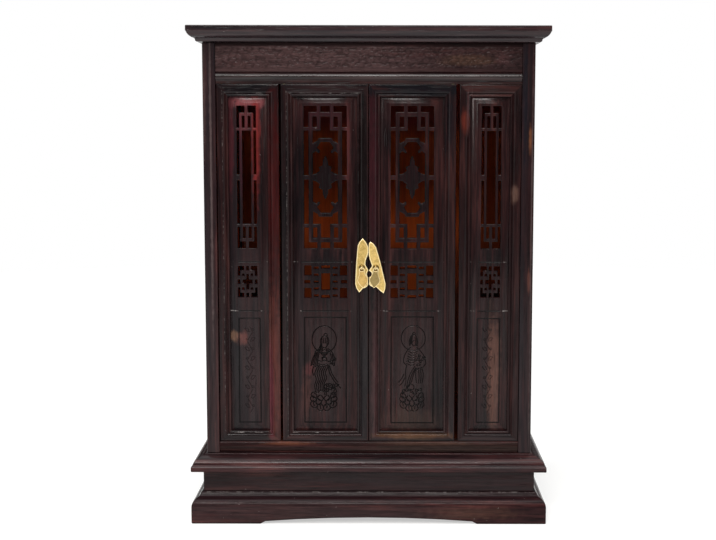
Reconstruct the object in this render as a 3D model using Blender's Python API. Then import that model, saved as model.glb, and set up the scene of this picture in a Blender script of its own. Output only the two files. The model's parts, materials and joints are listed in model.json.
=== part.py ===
# Household altar cabinet of dark rosewood: a box with a moulded top board and base, two narrow
# fixed leaves beside two pierced doors, and a pair of brass leaf-shaped pulls.
# X runs to the right, Y to the back, Z up. Sizes are in millimetres and become metres in add().
# The origin is the middle of the footprint, on the floor. The front faces -Y.

import math

import bpy
import bmesh
from mathutils import Vector
from mathutils.geometry import delaunay_2d_cdt

MM = 0.001
GAP = 0.3                # clearance between pieces that touch
MERGE = 0.00001          # points nearer than this are one, in metres
FLAT_ANGLE = math.radians(0.5)

# Driving dimensions.
HEIGHT = 500.0
BODY_WIDTH = 330.0
BODY_DEPTH = 255.0
OVERHANG = 15.0          # how far the base stands out beyond the body
HALF = BODY_WIDTH / 2
FRONT = (OVERHANG - BODY_DEPTH) / 2
BACK = FRONT + BODY_DEPTH

# Levels from the floor up.
PLINTH_TOP = 31.2
BASE_BOTTOM = 53.5
BASE_TOP = 70.0
FLOOR_TOP = 82.0
HEAD_BOTTOM = 443.6
HEAD_TOP = 455.2
CORNICE_BOTTOM = 484.2

# The carcase.
WALL = 12.7              # thickness of the side frames
POST_DEPTH = 28.0
SIDE_RAIL = 34.0         # height of the rails in the side frames
SIDE_PANEL = 6.0
SIDE_PANEL_INSET = 3.5
BACK_BOARD = 6.0
BACK_INSET = 2.0
INSIDE = HALF - WALL     # half the clear width between the side frames
RAIL_DEPTH = 15.5
CORNER_ROUND = 0.8       # rounds the outer corners of the posts
FRIEZE_RECESS = 1.2
FRIEZE_THICK = 10.8

# The sill and head rails, whose faces lie a little behind the posts.
RAIL_RECESS = 0.6
SILL_QUIRK = 71.9        # a shadow line runs below this level
SILL_QUIRK_DEEP = 1.6
SILL_FACE_TOP = 77.0
SILL_BEAD_BOTTOM = 77.8
SILL_BEAD_OUT = 0.9
HEAD_BEAD_BOTTOM = 446.9
HEAD_BEAD_TOP = 454.4
HEAD_BEAD_OUT = 2.3

# The base.
WAIST_OUT = 3.6          # the waist stands out this far beyond the body
WAIST_BOARD = 12.0
ARCH_END = 2.6           # height of the quick step at each end of a foot cut-out
ARCH_RISE = 6.6          # height of the cut-out in its middle
ARCH_STEP = 5.0
ARCH_HALF_FRONT = 110.0
FOOT_SIDE = 62.0         # length of each foot under the sides

# The four leaves. A leaf is a mitred frame with a raised, pierced panel in a groove.
LEAF_THICK = 11.0
LEAF_RECESS = 1.0
BACK_BEVEL = 0.6         # eases the back of the outer edges, so that the doors pass each other
BACK_BEVEL_DEEP = 2.5
LEAF_BOTTOM = FLOOR_TOP + 0.5
LEAF_TOP = HEAD_BOTTOM - 0.5
STILE = 11.3
RAIL_LOW = 10.0
RAIL_HIGH = 12.0
GROOVE_FRONT = 4.4       # depth of the groove's front wall behind the leaf's face
GROOVE_BACK = 8.0
GROOVE_DEEP = 2.8
FIELD_DEPTH = 1.6        # the raised field lies this far behind the leaf's face
PANEL_MARGIN = 0.6
PANEL_BEVEL = 5.4
LEFT_FIXED = (-151.4, -89.8)
LEFT_DOOR = (-87.6, -0.6)
RIGHT_DOOR = (0.0, 87.0)
RIGHT_FIXED = (90.4, 152.0)

# The fretwork. Its middles lie a little off the leaves' own, as sawn by hand.
LEFT_FIXED_FRET = -122.3
LEFT_DOOR_FRET = -43.6
RIGHT_DOOR_FRET = 43.4
RIGHT_FIXED_FRET = 122.4
DOOR_WINDOW_HALF = 21.5  # half the width of a door's openings
SIDE_WINDOW_HALF = 9.8
WINDOW_LOW = 279.5
WINDOW_HIGH = 422.0
WINDOW_MIDDLE = (WINDOW_LOW + WINDOW_HIGH) / 2
WINDOW_HALF = (WINDOW_HIGH - WINDOW_LOW) / 2
LATTICE_MIDDLE = 245.8

# The pivots and the brass.
PIN_RADIUS = 1.25
PIN_INSET = 3.2          # from the door's edge
PIN_DEPTH = 3.4          # behind the door's face
PIN_REACH = 6.0          # how far a pin runs into the door and into the rail
PLATE = 0.9
EYE_RING = 2.2
EYE_WIRE = 0.6
EYE_LEVEL = 260.3
EYE_OUT = 1.3            # from the plate's face to the eye's middle
DROP_THICK = 1.0
DROP_LENGTH = 18.4       # from its hole to its tip
DROP_HOLE_WIDE = 1.9
DROP_HOLE_HIGH = 1.4
EYE_SIDE = 7.0           # from the joint between the doors
LEFT_LEAN = math.radians(5)
RIGHT_LEAN = math.radians(-6)


def arc(start, end, bulge, count):
    """Points after start up to end on an arc that stands out by bulge to the left of the line."""
    a = Vector(start)
    b = Vector(end)
    chord = b - a
    side = Vector((-chord.y, chord.x)).normalized()
    half = chord.length / 2
    radius = (half * half + bulge * bulge) / (2 * bulge)
    centre = (a + b) / 2 - side * (radius - bulge)
    spread = math.asin(max(-1.0, min(1.0, half / radius)))
    points = []
    for i in range(1, count + 1):
        turn = -spread + 2 * spread * i / count
        points.append(tuple(centre + side * radius * math.cos(turn)
                            + chord.normalized() * radius * math.sin(turn)))
    return points


def ellipse(x, z, wide, high, count):
    return [(x + wide * math.cos(2 * math.pi * i / count),
             z + high * math.sin(2 * math.pi * i / count)) for i in range(count)]


def rectangle(x0, x1, z0, z1):
    return [(x0, z0), (x1, z0), (x1, z1), (x0, z1)]


def material(name, colour, roughness, metallic):
    made = bpy.data.materials.new(name)
    made.use_nodes = True
    shader = made.node_tree.nodes["Principled BSDF"]
    shader.inputs["Base Color"].default_value = (*colour, 1.0)
    shader.inputs["Roughness"].default_value = roughness
    shader.inputs["Metallic"].default_value = metallic
    made.diffuse_color = (*colour, 1.0)
    return made


# A finish is its name, colour, roughness and metallic value.
WOOD = ("rosewood", (0.045, 0.018, 0.016), 0.35, 0.0)
INNER = ("inner_wood", (0.30, 0.10, 0.025), 0.5, 0.0)
METAL = ("brass", (0.80, 0.60, 0.25), 0.25, 1.0)


def add(name, verts, faces, finish, parent=None):
    """Make one closed piece from millimetre points and place it in the world."""
    anchor = parent.location if parent else Vector((0, 0, 0))
    mesh = bpy.data.meshes.new(name)
    mesh.from_pydata([Vector(v) * MM - anchor for v in verts], [], faces)
    shaped = bmesh.new()
    shaped.from_mesh(mesh)
    bmesh.ops.remove_doubles(shaped, verts=shaped.verts, dist=MERGE)
    bmesh.ops.recalc_face_normals(shaped, faces=shaped.faces)
    shaped.to_mesh(mesh)
    shaped.free()
    kind, *values = finish
    mesh.materials.append(material(name + "_" + kind, *values))
    piece = bpy.data.objects.new(name, mesh)
    bpy.context.collection.objects.link(piece)
    piece.parent = parent
    return piece


def axis_empty(name, x, y, z):
    empty = bpy.data.objects.new(name, None)
    empty.location = Vector((x, y, z)) * MM
    bpy.context.collection.objects.link(empty)
    return empty


def box(name, low, high, finish=WOOD, parent=None):
    x0, y0, z0 = low
    x1, y1, z1 = high
    verts = [(x, y, z) for x in (x0, x1) for y in (y0, y1) for z in (z0, z1)]
    faces = [(0, 1, 3, 2), (4, 6, 7, 5), (0, 4, 5, 1), (2, 3, 7, 6), (0, 2, 6, 4), (1, 5, 7, 3)]
    return add(name, verts, faces, finish, parent)


def loft(name, stations, finish=WOOD, parent=None):
    """Join closed outlines of the same length into one solid with capped ends."""
    count = len(stations[0])
    verts = [point for station in stations for point in station]
    faces = []
    for s in range(len(stations) - 1):
        for i in range(count):
            j = (i + 1) % count
            a = s * count
            faces.append((a + i, a + j, a + count + j, a + count + i))
    faces.append(tuple(range(count)))
    faces.append(tuple(range(len(verts) - count, len(verts))))
    return add(name, verts, faces, finish, parent)


# Mouldings. A profile is a list of (out, z): how far it stands out beyond the body, and its level.

def cornice_profile():
    points = [(3.4, CORNICE_BOTTOM), (5.0, 484.6)]
    points += arc((5.0, 484.6), (5.9, 486.5), -0.35, 2)
    points += [(6.5, 487.7), (7.4, 488.1)]
    points += arc((7.4, 488.1), (13.7, 493.9), -1.1, 5)
    points += [(14.3, 494.5), (14.3, HEIGHT - 0.6), (13.7, HEIGHT)]
    return points


def base_profile():
    points = [(14.4, BASE_BOTTOM), (OVERHANG, 54.1), (OVERHANG, 58.2), (14.1, 59.5), (13.1, 60.1)]
    points += arc((13.1, 60.1), (11.2, 64.8), -0.4, 3)
    points += arc((11.2, 64.8), (1.6, BASE_TOP - 0.7), -0.5, 3)
    points += [(1.6, BASE_TOP)]
    return points


def plinth_profile():
    points = [(0.0, 0.0), (14.4, 0.0), (OVERHANG, 0.6), (OVERHANG, 17.0)]
    points += arc((OVERHANG, 17.0), (11.5, 24.5), -0.9, 4)
    points += [(10.8, 24.9)]
    points += arc((10.8, 24.9), (6.4, 29.0), 0.6, 3)
    points += [(6.2, 30.2), (5.2, PLINTH_TOP), (0.0, PLINTH_TOP)]
    return points


def slab(name, profile, finish=WOOD):
    """A board whose front and side edges carry the profile; its back is flush with the body."""
    rings = []
    for out, z in profile:
        side = HALF + out
        rings.append([(-side, FRONT - out, z), (side, FRONT - out, z), (side, BACK, z),
                      (-side, BACK, z)])
    return loft(name, rings, finish)


def arch(distance, half):
    """Height of the foot cut-out at a distance from its middle."""
    inner = half - ARCH_STEP
    if distance >= half:
        return 0.0
    if distance >= inner:
        return ARCH_END * (half - distance) / ARCH_STEP
    return ARCH_END + (ARCH_RISE - ARCH_END) * (1 - (distance / inner) ** 2)


def arch_stops(middle, half):
    """Places along a run where the cut-out needs a section."""
    inner = half - ARCH_STEP
    steps = [-1.0, -0.7, -0.35, 0.0, 0.35, 0.7, 1.0]
    return [middle - half] + [middle + step * inner for step in steps] + [middle + half]


def plinth_front(profile):
    middle = arch_stops(0.0, ARCH_HALF_FRONT)
    stations = [[(-(HALF + out) + GAP / 2, FRONT - out, z) for out, z in profile]]
    for x in middle:
        lift = arch(abs(x), ARCH_HALF_FRONT)
        stations.append([(x, FRONT - out, z + lift if z < 1 else z) for out, z in profile])
    stations.append([((HALF + out) - GAP / 2, FRONT - out, z) for out, z in profile])
    return loft("plinth_front", stations)


def plinth_side(name, sign, profile):
    half = (BODY_DEPTH + OVERHANG) / 2 - FOOT_SIDE
    middle = (FRONT - OVERHANG + BACK) / 2
    stations = [[(sign * (HALF + out), FRONT - out + GAP, z) for out, z in profile]]
    for y in arch_stops(middle, half):
        lift = arch(abs(y - middle), half)
        stations.append([(sign * (HALF + out), y, z + lift if z < 1 else z) for out, z in profile])
    stations.append([(sign * (HALF + out), BACK, z) for out, z in profile])
    return loft(name, stations)


def build_base():
    profile = plinth_profile()
    plinth_front(profile)
    plinth_side("plinth_left", -1, profile)
    plinth_side("plinth_right", 1, profile)
    box("plinth_back", (-HALF + GAP, BACK - WAIST_BOARD, 0.0), (HALF - GAP, BACK, PLINTH_TOP))

    low = PLINTH_TOP + GAP
    high = BASE_BOTTOM - GAP
    outer = WAIST_OUT
    inner = WAIST_OUT - WAIST_BOARD
    ring = [(inner, low), (outer, low), (outer, high), (inner, high)]
    loft("waist_front", [[(sign * (HALF + out - GAP / 2), FRONT - out, z) for out, z in ring]
                         for sign in (-1, 1)])
    for name, sign in (("waist_left", -1), ("waist_right", 1)):
        near = [(sign * (HALF + out), FRONT - out + GAP, z) for out, z in ring]
        far = [(sign * (HALF + out), BACK, z) for out, z in ring]
        loft(name, [near, far])
    box("waist_back", (-HALF - inner + GAP, BACK - WAIST_BOARD, low),
        (HALF + inner - GAP, BACK, high))
    slab("base_board", base_profile())


def build_carcase():
    low = BASE_TOP + GAP
    high = CORNICE_BOTTOM - GAP
    for side, sign in (("left", -1), ("right", 1)):
        outline = [(INSIDE, FRONT), (HALF - CORNER_ROUND, FRONT), (HALF - 0.25, FRONT + 0.25),
                   (HALF, FRONT + CORNER_ROUND), (HALF, FRONT + POST_DEPTH),
                   (INSIDE, FRONT + POST_DEPTH)]
        loft("front_post_" + side, [[(sign * x, y, z) for x, y in outline] for z in (low, high)])
        outline = [(INSIDE, BACK - POST_DEPTH), (HALF, BACK - POST_DEPTH),
                   (HALF, BACK - CORNER_ROUND), (HALF - CORNER_ROUND, BACK), (INSIDE, BACK)]
        loft("back_post_" + side, [[(sign * x, y, z) for x, y in outline] for z in (low, high)])
        near = FRONT + POST_DEPTH + GAP
        far = BACK - POST_DEPTH - GAP
        x0, x1 = sorted((sign * INSIDE, sign * HALF))
        box("side_rail_low_" + side, (x0, near, low), (x1, far, low + SIDE_RAIL))
        box("side_rail_high_" + side, (x0, near, high - SIDE_RAIL), (x1, far, high))
        outer = HALF - SIDE_PANEL_INSET
        x0, x1 = sorted((sign * outer, sign * (outer - SIDE_PANEL)))
        box("side_panel_" + side, (x0, near, low + SIDE_RAIL + GAP),
            (x1, far, high - SIDE_RAIL - GAP))

    inside = INSIDE - GAP
    box("back_board", (-inside, BACK - BACK_INSET - BACK_BOARD, low),
        (inside, BACK - BACK_INSET, high), INNER)
    box("floor_board", (-inside, FRONT + RAIL_DEPTH + GAP, low),
        (inside, BACK - BACK_INSET - BACK_BOARD - GAP, FLOOR_TOP), INNER)
    front = FRONT + FRIEZE_RECESS
    box("frieze_board", (-inside, front, HEAD_TOP + GAP), (inside, front + FRIEZE_THICK, high))

    # The sill rail: a rounded top edge over a flat face, and a quirk that shades its foot.
    back = FRONT + RAIL_DEPTH
    face = FRONT + RAIL_RECESS
    section = [(back, low), (face + SILL_QUIRK_DEEP, low), (face + SILL_QUIRK_DEEP, SILL_QUIRK),
               (face, SILL_QUIRK + 0.5), (face, SILL_FACE_TOP), (face - 0.4, SILL_BEAD_BOTTOM)]
    section += arc((face - 0.4, SILL_BEAD_BOTTOM), (face + 0.6, FLOOR_TOP), SILL_BEAD_OUT, 4)
    section += [(back, FLOOR_TOP)]
    sill = loft("sill_rail", [[(x, y, z) for y, z in section] for x in (-inside, inside)])

    # The head rail: a flat fascia with a round bead above it.
    section = [(back, HEAD_BOTTOM), (face, HEAD_BOTTOM), (face, HEAD_BEAD_BOTTOM)]
    section += arc((face, HEAD_BEAD_BOTTOM), (face, HEAD_BEAD_TOP), HEAD_BEAD_OUT, 6)
    section += [(face + 1.0, HEAD_TOP), (back, HEAD_TOP)]
    head = loft("head_rail", [[(x, y, z) for y, z in section] for x in (-inside, inside)])

    slab("top_board", cornice_profile())
    return sill, head


# A leaf's frame. Its section is a list of (width, depth): width from the sight edge outwards,
# depth behind the leaf's face. The moulding is a small bead, a quirk and a quarter round.

def frame_section(width, stop):
    section = [(0.0, GROOVE_FRONT), (0.0, 1.3)]
    section += arc((0.0, 1.3), (2.5, 1.3), -0.9, 5)
    section += [(2.75, 1.6), (3.1, 1.6), (3.3, 1.1)]
    section += arc((3.3, 1.1), (6.2, 0.0), -0.35, 3)
    if stop < width:
        section += [(stop, 0.0)]
    section += [(width - 0.4, 0.0), (width, 0.4), (width, LEAF_THICK - BACK_BEVEL_DEEP),
                (width - BACK_BEVEL, LEAF_THICK)]
    if stop < width:
        section += [(stop, LEAF_THICK)]
    section += [(0.0, LEAF_THICK), (0.0, GROOVE_BACK), (GROOVE_DEEP, GROOVE_BACK),
                (GROOVE_DEEP, GROOVE_FRONT)]
    return section


def stile(name, edge, inward, low, high, parent):
    """An upright. Its ends follow the mitre until the rail's width is used up."""
    face = FRONT + LEAF_RECESS
    sight = edge + inward * STILE
    stations = []
    section = frame_section(STILE, RAIL_LOW)
    for corner, across, rail in ((low + RAIL_LOW, -1, RAIL_LOW), (high - RAIL_HIGH, 1, RAIL_HIGH)):
        ring = []
        for width, depth in section:
            reach = min(width, rail)
            trim = GAP / 2 if width < rail else 0.0
            ring.append((sight - inward * width, face + depth, corner + across * (reach - trim)))
        stations.append(ring)
    return loft(name, stations, WOOD, parent)


def rail(name, edge, upward, height, x0, x1, parent):
    """A crosspiece between the mitres of the two uprights."""
    face = FRONT + LEAF_RECESS
    sight = edge + upward * height
    stations = []
    section = frame_section(height, STILE)
    for corner, across in ((x0 + STILE, -1), (x1 - STILE, 1)):
        ring = []
        for width, depth in section:
            reach = min(width, STILE)
            trim = GAP / 2 if width < STILE else 0.0
            ring.append((corner + across * (reach - trim), face + depth, sight - upward * width))
        stations.append(ring)
    return loft(name, stations, WOOD, parent)


# Fretwork. A panel's pattern is two lists of outlines in the panel's plane: openings, and bars
# that cross them. Where a point lies in an opening and in no bar, the panel is pierced.

def mirrored(shapes, x_middle, z_middle, in_x=True, in_z=True):
    """The shapes, given in offsets from the pattern's middle, with their mirror images."""
    made = []
    for shape in shapes:
        variants = [shape]
        if in_x:
            variants += [[(-x, z) for x, z in v] for v in variants]
        if in_z:
            variants += [[(x, -z) for x, z in v] for v in variants]
        made += [[(x_middle + x, z_middle + z) for x, z in v] for v in variants]
    return made


def door_pattern(x_middle):
    """Upper window with square frets, a cloud arch and a pointed rosette; lower window of loops."""
    half = DOOR_WINDOW_HALF
    top = WINDOW_HALF
    openings = [rectangle(x_middle - half, x_middle + half, WINDOW_LOW, WINDOW_HIGH)]
    cloud = [(-0.5, 35.4), (-0.5, 39.4), (6.6, 39.4), (7.6, 36.6), (12.9, 33.9), (12.9, 23.8),
             (9.6, 26.3), (6.2, 24.0), (5.4, 26.4), (8.3, 29.6), (6.2, 33.0), (4.6, 35.4)]
    rosette = [(-0.4, 21.4), (0.4, 21.4), (2.5, 16.6), (2.8, 12.3), (6.6, 10.4), (5.6, 6.6),
               (9.4, 3.9), (12.9, 2.9), (12.9, -0.2), (-0.4, -0.2)]
    bars = mirrored([
        rectangle(4.6, 8.4, 46.8, top + 1),
        rectangle(-0.5, 16.8, 60.6, 65.1),
        rectangle(12.6, 16.8, -0.5, 64.8),
        rectangle(4.6, half + 1, 46.7, 50.2),
        rectangle(16.4, half + 1, -0.2, 2.2),
        cloud,
        rosette,
    ], x_middle, WINDOW_MIDDLE)
    openings += mirrored([
        rectangle(-0.5, 4.4, -0.5, 8.4),
        rectangle(14.4, half, 6.4, 16.4),
        rectangle(15.6, half, -0.5, 1.6),
    ], x_middle, LATTICE_MIDDLE)
    openings += mirrored([
        rectangle(7.2, 12.0, 13.0, 15.2),
        rectangle(7.2, 12.0, 6.0, 8.0),
        rectangle(-0.5, 4.4, 13.6, 16.4),
    ], x_middle, LATTICE_MIDDLE)
    openings += mirrored([rectangle(7.2, 12.0, -1.0, 1.0)], x_middle, LATTICE_MIDDLE, True, False)
    return openings, bars


def side_pattern(x_middle):
    """The narrow leaves: a long fret of thin bars above, a cross with four loops below."""
    half = SIDE_WINDOW_HALF
    top = WINDOW_HALF
    openings = [rectangle(x_middle - half, x_middle + half, WINDOW_LOW, WINDOW_HIGH)]
    bars = mirrored([
        rectangle(-0.5, 1.5, 46.8, top + 1),
        rectangle(-0.5, 7.0, 61.3, 64.3),
        rectangle(4.4, 7.0, -0.5, 64.0),
        rectangle(-0.5, half + 1, 46.7, 49.4),
        rectangle(6.8, half + 1, -0.5, 2.9),
    ], x_middle, WINDOW_MIDDLE)
    openings += mirrored([
        rectangle(-0.5, 1.2, -0.5, 7.8),
        rectangle(-0.5, 4.8, -0.5, 2.1),
        rectangle(3.3, 5.5, 5.9, 8.1),
        rectangle(7.5, half, -0.5, 2.2),
        rectangle(7.5, half, 6.0, 15.8),
        rectangle(3.6, half, 11.4, 15.8),
        rectangle(-0.5, 1.3, 11.4, 15.8),
    ], x_middle, LATTICE_MIDDLE)
    return openings, bars


def anticlockwise(shape):
    area = sum(a[0] * b[1] - b[0] * a[1] for a, b in zip(shape, shape[1:] + shape[:1]))
    return shape if area > 0 else shape[::-1]


def plate_cells(outline, openings, bars):
    """Triangles that cover the outline except where an opening isn't crossed by a bar."""
    points = []
    loops = []
    for shape in [outline] + openings + bars:
        loops.append(list(range(len(points), len(points) + len(shape))))
        points += [Vector(p) for p in anticlockwise(shape)]
    verts, _, faces, _, _, sources = delaunay_2d_cdt(points, [], loops, 1, 0.0005, True)
    open_ids = set(range(1, 1 + len(openings)))
    bar_ids = set(range(1 + len(openings), len(loops)))
    kept = []
    for face, source in zip(faces, sources):
        found = set(source)
        if 0 in found and (not found & open_ids or found & bar_ids):
            kept.append(tuple(face))
    return [tuple(v) for v in verts], kept


def hole_edges(faces):
    """Edges that belong to one face only, in that face's direction."""
    used = {}
    for face in faces:
        for i, a in enumerate(face):
            b = face[(i + 1) % len(face)]
            used.setdefault(frozenset((a, b)), []).append((a, b))
    return [pairs[0] for pairs in used.values() if len(pairs) == 1]


def pierced_panel(name, x0, x1, low, high, pattern, parent):
    """A raised panel: tongue, bevel and field, with the fretwork sawn through the field."""
    face = FRONT + LEAF_RECESS
    front = face + FIELD_DEPTH
    shoulder = face + GROOVE_FRONT + GAP
    back = face + GROOVE_BACK - GAP
    tongue = GROOVE_DEEP - GAP
    openings, bars = pattern

    def ring(out):
        return rectangle(x0 + STILE - out, x1 - STILE + out, low + RAIL_LOW - out,
                         high - RAIL_HIGH + out)

    field = ring(-PANEL_MARGIN - PANEL_BEVEL)
    edge = ring(tongue)
    verts = []
    faces = []
    rims = []
    for outline, y in ((field, front), (edge, back)):
        points, cells = plate_cells(outline, openings, bars)
        base = len(verts)
        verts += [(x, y, z) for x, z in points]
        faces += [tuple(base + i for i in cell) for cell in cells]
        rims.append([(points[a], points[b]) for a, b in hole_edges(cells)])

    def inside(point):
        return (field[0][0] + 1e-3 < point[0] < field[1][0] - 1e-3
                and field[0][1] + 1e-3 < point[1] < field[2][1] - 1e-3)

    for a, b in rims[0]:
        if inside(a) or inside(b):
            base = len(verts)
            verts += [(a[0], front, a[1]), (b[0], front, b[1]), (b[0], back, b[1]),
                      (a[0], back, a[1])]
            faces.append((base, base + 1, base + 2, base + 3))
    steps = [(field, front), (ring(-PANEL_MARGIN), shoulder), (edge, shoulder), (edge, back)]
    for (upper, y0), (lower, y1) in zip(steps, steps[1:]):
        for i in range(4):
            j = (i + 1) % 4
            base = len(verts)
            verts += [(upper[i][0], y0, upper[i][1]), (upper[j][0], y0, upper[j][1]),
                      (lower[j][0], y1, lower[j][1]), (lower[i][0], y1, lower[i][1])]
            faces.append((base, base + 1, base + 2, base + 3))
    return simplify(add(name, verts, faces, WOOD, parent))


def simplify(piece):
    """Drop the points that lie in flat faces, then close the faces as triangles again."""
    shaped = bmesh.new()
    shaped.from_mesh(piece.data)
    bmesh.ops.dissolve_limit(shaped, angle_limit=FLAT_ANGLE, verts=shaped.verts,
                             edges=shaped.edges)
    bmesh.ops.triangulate(shaped, faces=shaped.faces)
    bmesh.ops.recalc_face_normals(shaped, faces=shaped.faces)
    shaped.to_mesh(piece.data)
    shaped.free()
    return piece


def leaf(prefix, span, pattern, parent=None):
    x0, x1 = span
    low = LEAF_BOTTOM
    high = LEAF_TOP
    parts = {
        "stile_left": stile(prefix + "_stile_left", x0, 1, low, high, parent),
        "stile_right": stile(prefix + "_stile_right", x1, -1, low, high, parent),
        "rail_low": rail(prefix + "_rail_low", low, 1, RAIL_LOW, x0, x1, parent),
        "rail_high": rail(prefix + "_rail_high", high, -1, RAIL_HIGH, x0, x1, parent),
    }
    pierced_panel(prefix + "_panel", x0, x1, low, high, pattern, parent)
    return parts


def pin(name, x, y, z0, z1):
    section = ellipse(x, y, PIN_RADIUS, PIN_RADIUS, 16)
    return loft(name, [[(px, py, z) for px, py in section] for z in (z0, z1)], METAL)


def pin_cutter(name, x, y, z0, z1):
    section = ellipse(x, y, PIN_RADIUS + GAP, PIN_RADIUS + GAP, 16)
    cutter = loft(name, [[(px, py, z) for px, py in section] for z in (z0, z1)], METAL)
    cutter.display_type = "WIRE"
    cutter.hide_render = True
    return cutter


def bore(pieces, cutter):
    for piece in pieces:
        cut = piece.modifiers.new("pin_hole", "BOOLEAN")
        cut.operation = "DIFFERENCE"
        cut.solver = "EXACT"
        cut.object = cutter


def hang_door(side, x, parts, sill, head):
    """The two brass pins that a door turns on, and the holes that they run in."""
    y = FRONT + LEAF_RECESS + PIN_DEPTH
    stile_name = "stile_left" if side == "left" else "stile_right"
    for place, z, frame_rail, board in (("low", LEAF_BOTTOM, "rail_low", sill),
                                        ("high", LEAF_TOP, "rail_high", head)):
        z0 = z - PIN_REACH
        z1 = z + PIN_REACH
        pin(side + "_door_pin_" + place, x, y, z0, z1)
        cutter = pin_cutter(side + "_pin_cutter_" + place, x, y, z0 - GAP, z1 + GAP)
        bore([parts[stile_name], parts[frame_rail], board], cutter)


# Brass pulls. Each door has a flat leaf-shaped plate, an eye bent from wire, and a drop in it.

def left_plate_outline():
    points = [(-6.2, 290.0), (-9.2, 286.6), (-11.1, 283.0), (-11.8, 276.0), (-12.6, 266.0),
              (-13.3, 255.0), (-13.7, 243.9), (-12.5, 239.4)]
    points += [(-9.7, 235.2), (-7.8, 237.4), (-5.9, 239.6)]
    points += arc((-5.9, 239.6), (-0.7, 243.6), -1.1, 3)
    points += [(-0.7, 250.6)]
    points += arc((-0.7, 250.6), (-0.7, 257.2), 1.3, 4)
    points += [(-0.7, 258.0), (-3.6, 263.6), (-3.2, 268.0), (-1.4, 272.5), (-0.5, 275.5),
               (-0.5, 281.0), (-2.6, 285.6)]
    return points


def right_plate_outline():
    points = [(1.6, 286.4), (0.2, 285.0), (-0.1, 282.6), (-0.1, 273.5), (0.9, 269.0),
              (3.3, 262.0), (0.3, 258.0), (0.3, 257.2)]
    points += arc((0.3, 257.2), (0.3, 250.6), 2.6, 5)
    points += [(0.3, 243.6)]
    points += arc((0.3, 243.6), (7.4, 240.9), -1.3, 3)
    points += [(9.8, 238.6), (12.4, 236.2), (14.9, 234.4), (16.4, 238.6), (16.9, 243.8),
               (15.2, 251.0), (13.0, 260.5), (10.9, 268.5), (8.9, 275.5), (7.2, 281.2),
               (4.2, 285.0)]
    return points


def sheet(name, outline, holes, y0, y1, parent):
    """A flat plate between two planes, with its holes."""
    points, cells = plate_cells(outline, holes, [])
    count = len(points)
    verts = [(x, y0, z) for x, z in points] + [(x, y1, z) for x, z in points]
    faces = list(cells) + [tuple(count + i for i in reversed(cell)) for cell in cells]
    faces += [(a, b, count + b, count + a) for a, b in hole_edges(cells)]
    return add(name, verts, faces, METAL, parent)


def drop_outline(x, z, lean):
    """A long leaf that hangs from its eye, leaning by an angle."""
    half = [(0.0, 2.7), (1.6, 2.3), (2.8, 1.0), (3.1, -0.4), (2.7, -2.2), (3.1, -4.2),
            (4.4, -7.2), (5.4, -10.0), (5.2, -11.6), (3.9, -14.2), (1.6, -16.8)]
    outline = half + [(0.0, -DROP_LENGTH)] + [(-px, pz) for px, pz in reversed(half[1:])]
    turned = []
    for px, pz in outline:
        turned.append((x + px * math.cos(lean) - pz * math.sin(lean),
                       z + px * math.sin(lean) + pz * math.cos(lean)))
    return turned


def eye(name, x, y, z, parent):
    """A wire ring in the plane across the plate, open where it enters the door."""
    clear = EYE_OUT - GAP
    start = math.acos(clear / EYE_RING)
    steps = 14
    stations = []
    for i in range(steps + 1):
        turn = start + (2 * math.pi - 2 * start) * i / steps
        ring = []
        for k in range(8):
            roll = 2 * math.pi * k / 8
            radius = EYE_RING + EYE_WIRE * math.cos(roll)
            ring.append((x + EYE_WIRE * math.sin(roll), y + radius * math.cos(turn),
                         z + radius * math.sin(turn)))
        stations.append(ring)
    face = y + clear
    for station in (0, -1):
        stations[station] = [(px, min(py, face), pz) for px, py, pz in stations[station]]
    return loft(name, stations, METAL, parent)


def build_pull(side, outline, eye_x, lean, door_axis):
    face = FRONT + LEAF_RECESS
    back = face - GAP
    front = back - PLATE
    eye_y = front - EYE_OUT
    sheet(side + "_pull_plate", outline, [], front, back, door_axis)
    eye(side + "_pull_eye", eye_x, eye_y, EYE_LEVEL, door_axis)
    swing = axis_empty(side + "_pull_axis", eye_x, eye_y, EYE_LEVEL)
    hole_z = EYE_LEVEL - EYE_RING
    hole = ellipse(eye_x, hole_z, DROP_HOLE_WIDE, DROP_HOLE_HIGH, 12)
    sheet(side + "_pull_drop", drop_outline(eye_x, hole_z, lean), [hole],
          eye_y - DROP_THICK / 2, eye_y + DROP_THICK / 2, swing)


def main():
    for old in list(bpy.data.objects):
        bpy.data.objects.remove(old, do_unlink=True)

    build_base()
    sill, head = build_carcase()

    leaf("left_fixed", LEFT_FIXED, side_pattern(LEFT_FIXED_FRET))
    leaf("right_fixed", RIGHT_FIXED, side_pattern(RIGHT_FIXED_FRET))

    axis_y = FRONT + LEAF_RECESS + PIN_DEPTH
    left_x = LEFT_DOOR[0] + PIN_INSET
    right_x = RIGHT_DOOR[1] - PIN_INSET
    left_axis = axis_empty("left_door_axis", left_x, axis_y, LEAF_BOTTOM)
    right_axis = axis_empty("right_door_axis", right_x, axis_y, LEAF_BOTTOM)
    left = leaf("left_door", LEFT_DOOR, door_pattern(LEFT_DOOR_FRET), left_axis)
    right = leaf("right_door", RIGHT_DOOR, door_pattern(RIGHT_DOOR_FRET), right_axis)
    hang_door("left", left_x, left, sill, head)
    hang_door("right", right_x, right, sill, head)

    build_pull("left", left_plate_outline(), -EYE_SIDE, LEFT_LEAN, left_axis)
    build_pull("right", right_plate_outline(), EYE_SIDE, RIGHT_LEAN, right_axis)


main()
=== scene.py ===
import json
import math

import bpy
import bmesh
import numpy as np
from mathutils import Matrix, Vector
from mathutils.geometry import delaunay_2d_cdt

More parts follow.
